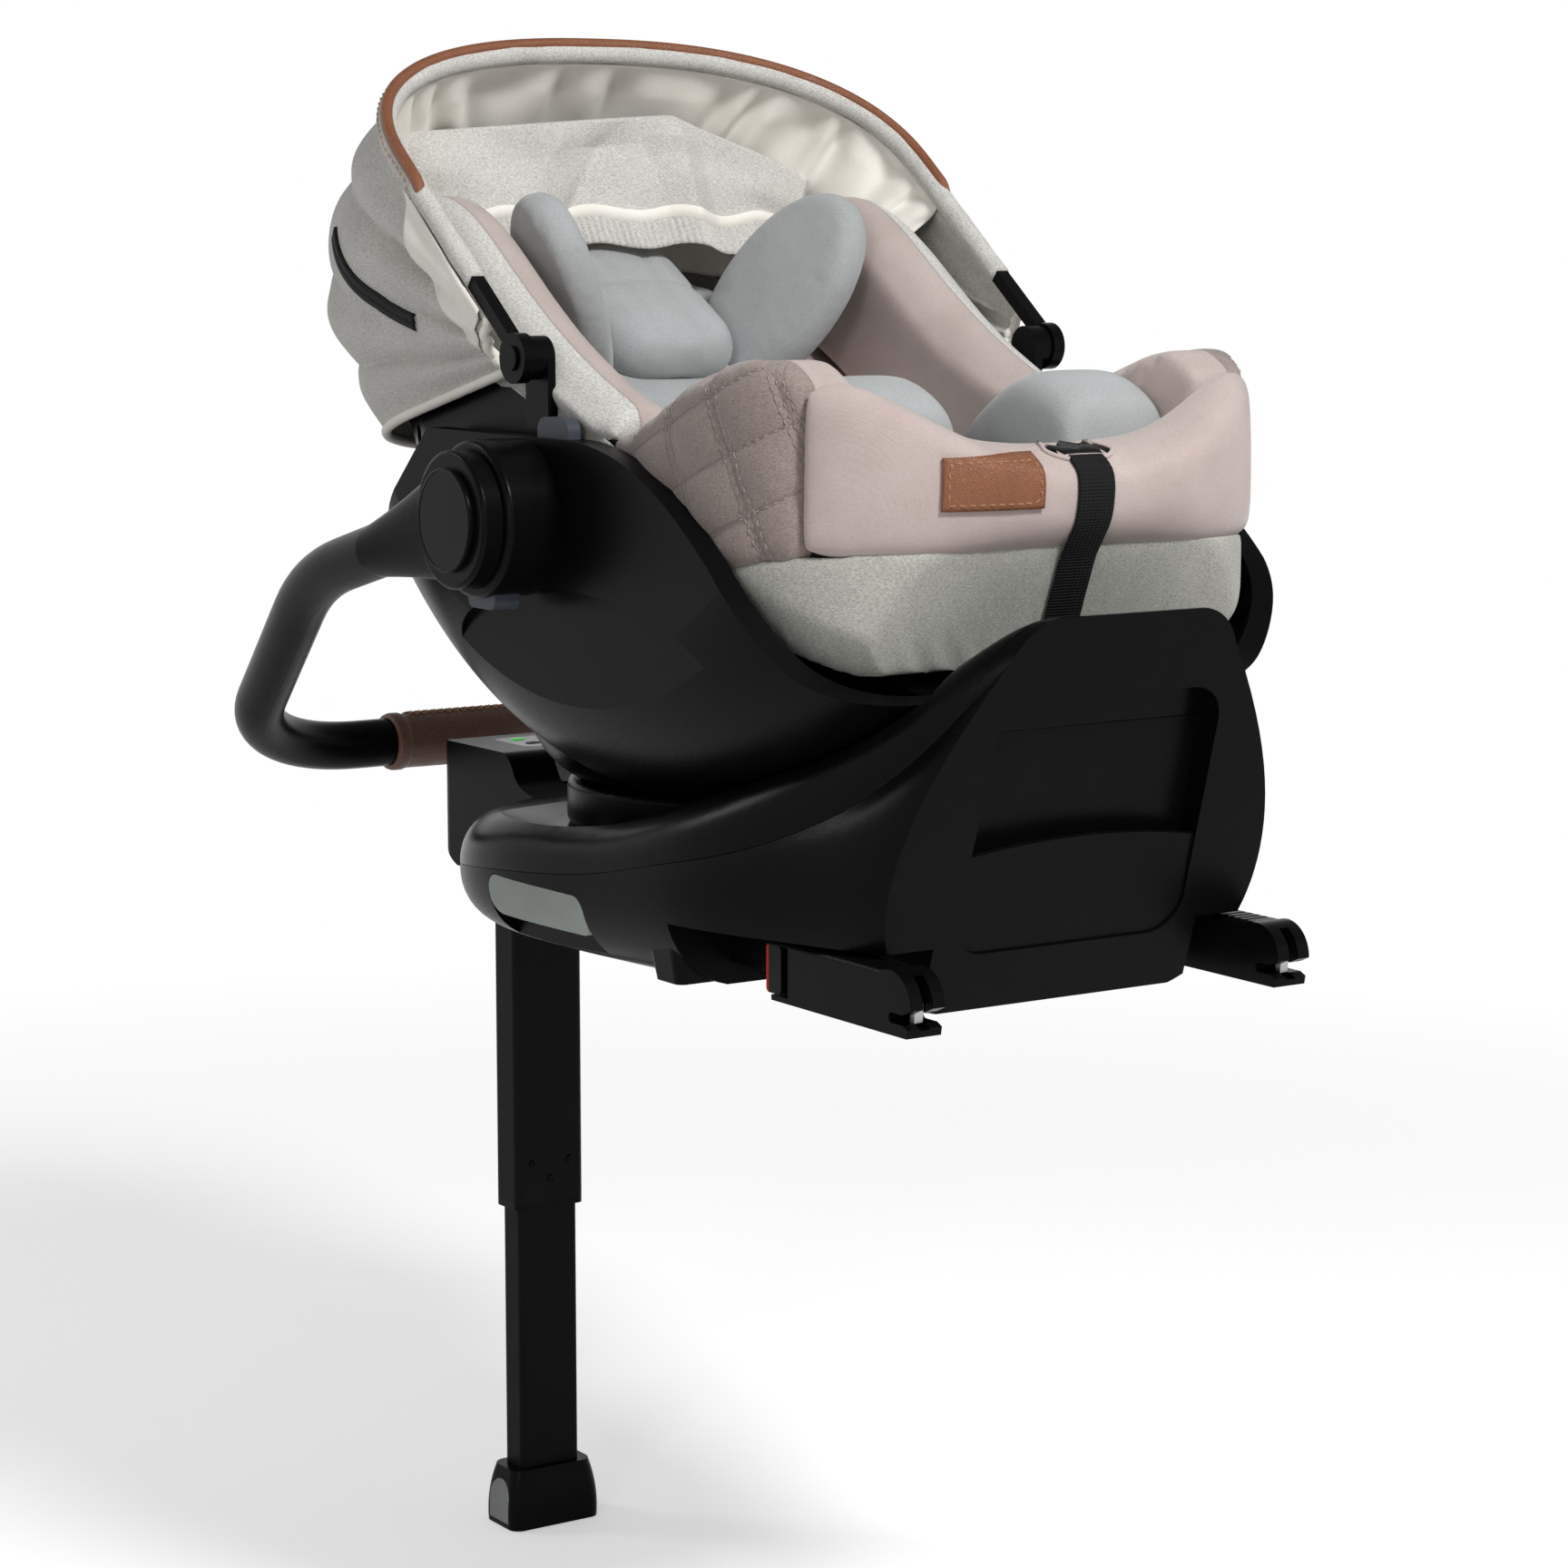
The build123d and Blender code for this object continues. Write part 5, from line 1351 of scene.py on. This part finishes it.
class SewTrim(bpy.types.Operator):
    """Adds the leather label, the welted strap slot and the rows of stitches"""

    bl_idname = "infant_seat.trim"
    bl_label = "Label, slot and stitches"

    def execute(self, context):
        foot = bpy.data.objects["foot_roll"]
        self.label(foot)
        self.welt(foot)
        self.corner_stitches()
        return {"FINISHED"}

    def label(self, foot):
        """A bare stitched leather label on the foot cushion."""
        wide, tall = 25, 13
        width, height = 0.068, 0.031
        middle_y, middle_z = -0.073, 0.829
        grid = []
        for r in range(tall):
            row = []
            for c in range(wide):
                y = middle_y + width * (c / (wide - 1) - 0.5)
                z = middle_z + height * (r / (tall - 1) - 0.5)
                row.append(on_front(foot, y, z, 0.0016))
            grid.append(row)
        label = piece("leather_label", sheet_grid(grid), "saddle_leather", "seat")
        thick(label, 0.0015, 0)
        half_y, half_z = width / 2 - 0.003, height / 2 - 0.003
        ends = ((-1, -1), (1, -1), (1, 1), (-1, 1), (-1, -1))
        line = [(0.68, middle_y + dy * half_y, middle_z + dz * half_z) for dy, dz in ends]
        laid = [on_front(label, spot.y, spot.z, 0.0) for spot in spaced(line, 0.004)]
        sewn("label_stitches", [laid], "tan_thread", "seat", label)

    def welt(self, foot):
        """The almond slot that the adjuster strap comes out of, with a welt round it."""
        rim = [(0.025 * math.cos(t), 0.0058 * math.sin(t) * abs(math.sin(t)) ** 0.35) for t in circle(64)]
        rows = []
        for scale in (0.02, 0.5, 1.0):
            rows.append([on_front(foot, y * scale, SLOT_Z + z * scale, 0.0004) for y, z in rim])
        points, faces = sheet_grid(rows, closed=True)
        faces.append(tuple(range(len(rim)))[::-1])
        thick(piece("strap_slot", (points, faces), "satin_shell", "seat"), 0.0006, 0)
        line = [on_front(foot, y, SLOT_Z + z, 0.0007) for y, z in rim]
        piece("strap_slot_welt", tube(line, 0.0015, 10, closed=True), "blush_jersey", "seat")

    def clear_of_shell(self, spot):
        """Whether a stitch stays off the outer shell while the seat reclines."""
        shell = NODES["outer_shell"]
        place = shell.matrix_world
        for turn in RECLINE_TURNS:
            leaned = RECLINE_MIDDLE + Matrix.Rotation(turn, 3, "Y") @ (spot - RECLINE_MIDDLE)
            _, nearest, _, _ = shell.closest_point_on_mesh(place.inverted() @ leaned)
            if (place @ nearest - leaned).length < SHELL_CLEARANCE:
                return False
        return True

    def corner_stitches(self):
        """Thread along the quilt's sewn lines on both corners."""
        for side, sign in SIDES:
            corner = bpy.data.objects[f"corner_quilt_{side}"]
            lines = []
            seams = [(k * QUILT_PITCH + shift, True) for k in range(-3, 5) for shift in QUILT_GROUP]
            seams += [(k * QUILT_CROSS, False) for k in range(-4, 6)]
            for fixed, upright in seams:
                run = []
                for step in range(81):
                    free = -0.12 + 0.27 * step / 80
                    across, up = (fixed, free) if upright else (free, fixed)
                    around = QUILT_MIDDLE[0] + across * math.cos(QUILT_LEAN) - up * math.sin(QUILT_LEAN)
                    z = QUILT_MIDDLE[1] + across * math.sin(QUILT_LEAN) + up * math.cos(QUILT_LEAN)
                    turn = max(0.0, (around - CORNER_START[0]) / CORNER_RADIUS)
                    if turn > 0.62:
                        continue
                    x = min(around, CORNER_START[0]) + CORNER_RADIUS * math.sin(turn)
                    y = CORNER_START[1] + CORNER_RADIUS * math.cos(turn)
                    target = Vector((x, sign * y, z))
                    _, spot, normal, _ = corner.closest_point_on_mesh(target)
                    on_face = (spot - target).length < 0.014 and sign * normal.y > 0.3
                    if on_face and self.clear_of_shell(spot):
                        run.append(spot)
                    elif on_face:
                        lines.append(run)
                        run = []
                lines.append(run)
            lines = [run for run in lines if len(run) > 3]
            sewn(f"quilt_stitches_{side}", lines, "taupe_thread", "seat", corner, 0.00045, 0.0003, 1.7)


class SetStage(bpy.types.Operator):
    """Sets the floor, the soft light and the camera"""

    bl_idname = "infant_seat.stage"
    bl_label = "Stage"
    floor_lift = 0.42

    def execute(self, context):
        scene = context.scene
        scene.view_settings.view_transform = "Standard"
        self.floor()
        self.backdrop()
        self.world(scene)
        back = Vector((0.8229, -0.5499, 0.1433)).normalized()
        spot = Vector((2.52409, -1.46497, 0.98690))
        camera = bpy.data.objects.new("view", bpy.data.cameras.new("view"))
        camera.data.lens = 90.83
        camera.data.sensor_width = 36
        right = Vector((0, 0, 1)).cross(back).normalized()
        turn = Matrix((right, back.cross(right), back)).transposed()
        camera.matrix_world = Matrix.Translation(spot) @ turn.to_4x4()
        scene.collection.objects.link(camera)
        scene.camera = camera
        aim = Vector((0.28, 0, 0.70))
        self.soft_light("key", (2.5, 0.1, 2.75), aim, 0.6, 74)
        self.soft_light("front", (2.3, -2.6, 1.5), aim, 0.8, 12)
        self.soft_light("back", (-1.7, -1.6, 2.0), aim, 0.6, 8)
        return {"FINISHED"}

    def floor(self):
        """A wide pale floor that keeps the seat's shadow and is white further off."""
        far = 30.0
        points, faces = sheet_grid([[(x, y, -0.0006) for y in (-far, far)] for x in (far, -far)])
        paint = Finish("floor_paper")
        fleck = paint.noise(60.0, 3.0)
        paper = paint.mix(fleck, (0.86, 0.86, 0.86, 1), (0.90, 0.90, 0.90, 1))
        paint.set(Base_Color=paper, Roughness=0.9, Specular_IOR_Level=0.1)
        seen = seen_rays(paint)
        bright = paint.other_shader(Base_Color=paper, Roughness=0.9, Specular_IOR_Level=0.1)
        bright.node.inputs["Emission Color"].default_value = (1, 1, 1, 1)
        bright.node.inputs["Emission Strength"].default_value = self.floor_lift
        white = paint.node("ShaderNodeEmission", sockets={0: (1, 1, 1, 1), 1: 1.0}).socket
        x, y, z = paint.axes()
        reach = ((x - 0.1) * (x - 0.1) + y * y) ** 0.5
        fade = paint.steps(reach, 1.15, 2.3)
        lit = paint.blend_shaders(fade, bright, white)
        paint.show(paint.blend_shaders(seen, paint.shader.outputs[0], lit))
        self.set_down("floor", points, faces, paint)

    def backdrop(self):
        """A white wall far off all round, which only the camera, mirrors and glass see."""
        radius, height, sides = 9.0, 5.0, 96
        rows = []
        for z in (-0.0006, height):
            rows.append([(radius * math.cos(t), radius * math.sin(t), z) for t in circle(sides)])
        points, faces = sheet_grid(rows, closed=True)
        paint = Finish("backdrop_white")
        clear = paint.node("ShaderNodeBsdfTransparent").socket
        white = paint.node("ShaderNodeEmission", sockets={0: (1, 1, 1, 1), 1: 1.0}).socket
        paint.show(paint.blend_shaders(seen_rays(paint), clear, white))
        self.set_down("backdrop", points, faces, paint)

    def set_down(self, name, points, faces, paint):
        """A piece of the stage, which isn't part of the seat."""
        mesh = bpy.data.meshes.new(name)
        mesh.from_pydata(points, [], faces)
        mesh.materials.append(paint.material)
        obj = bpy.data.objects.new(name, mesh)
        bpy.context.scene.collection.objects.link(obj)

    def world(self, scene):
        """Even pale light all round."""
        scene.world = bpy.data.worlds.new("studio")
        scene.world.use_nodes = True
        light = scene.world.node_tree.nodes["Background"]
        light.inputs[0].default_value = (1, 1, 1, 1)
        light.inputs[1].default_value = 0.30

    def soft_light(self, name, spot, aim, size, power):
        """One large soft lamp, aimed at the seat."""
        lamp = bpy.data.lights.new(name, "AREA")
        lamp.shape = "DISK"
        lamp.size = size
        lamp.energy = power
        obj = bpy.data.objects.new(name, lamp)
        obj.location = spot
        obj.rotation_euler = (Vector(aim) - Vector(spot)).to_track_quat("-Z", "Y").to_euler()
        bpy.context.scene.collection.objects.link(obj)


STEPS = [
    DressShells, AddFittings, WrapGrip, SewCover, StuffCushions, ThreadHarness, DrapeCanopy, SewTrim,
    SetStage,
]


class SeatPanel(bpy.types.Panel):
    """Lists the steps that dress the seat"""

    bl_idname = "VIEW3D_PT_infant_seat"
    bl_label = "Infant car seat"
    bl_space_type = "VIEW_3D"
    bl_region_type = "UI"
    bl_category = "Seat"

    def draw(self, context):
        for step in STEPS:
            self.layout.operator(step.bl_idname)
        for group in (colours(), sizes()):
            box = self.layout.box()
            for key in group.__annotations__:
                box.prop(group, key)


CLASSES = [SeatColours, SeatSizes, *STEPS, SeatPanel]


def register():
    for item in CLASSES:
        bpy.utils.register_class(item)
    bpy.types.Scene.infant_seat_colours = PointerProperty(type=SeatColours)
    bpy.types.Scene.infant_seat_sizes = PointerProperty(type=SeatSizes)


def unregister():
    del bpy.types.Scene.infant_seat_sizes
    del bpy.types.Scene.infant_seat_colours
    for item in reversed(CLASSES):
        bpy.utils.unregister_class(item)


def main():
    register()
    for step in STEPS:
        group, name = step.bl_idname.split(".")
        getattr(getattr(bpy.ops, group), name)()


if __name__ == "__main__":
    main()
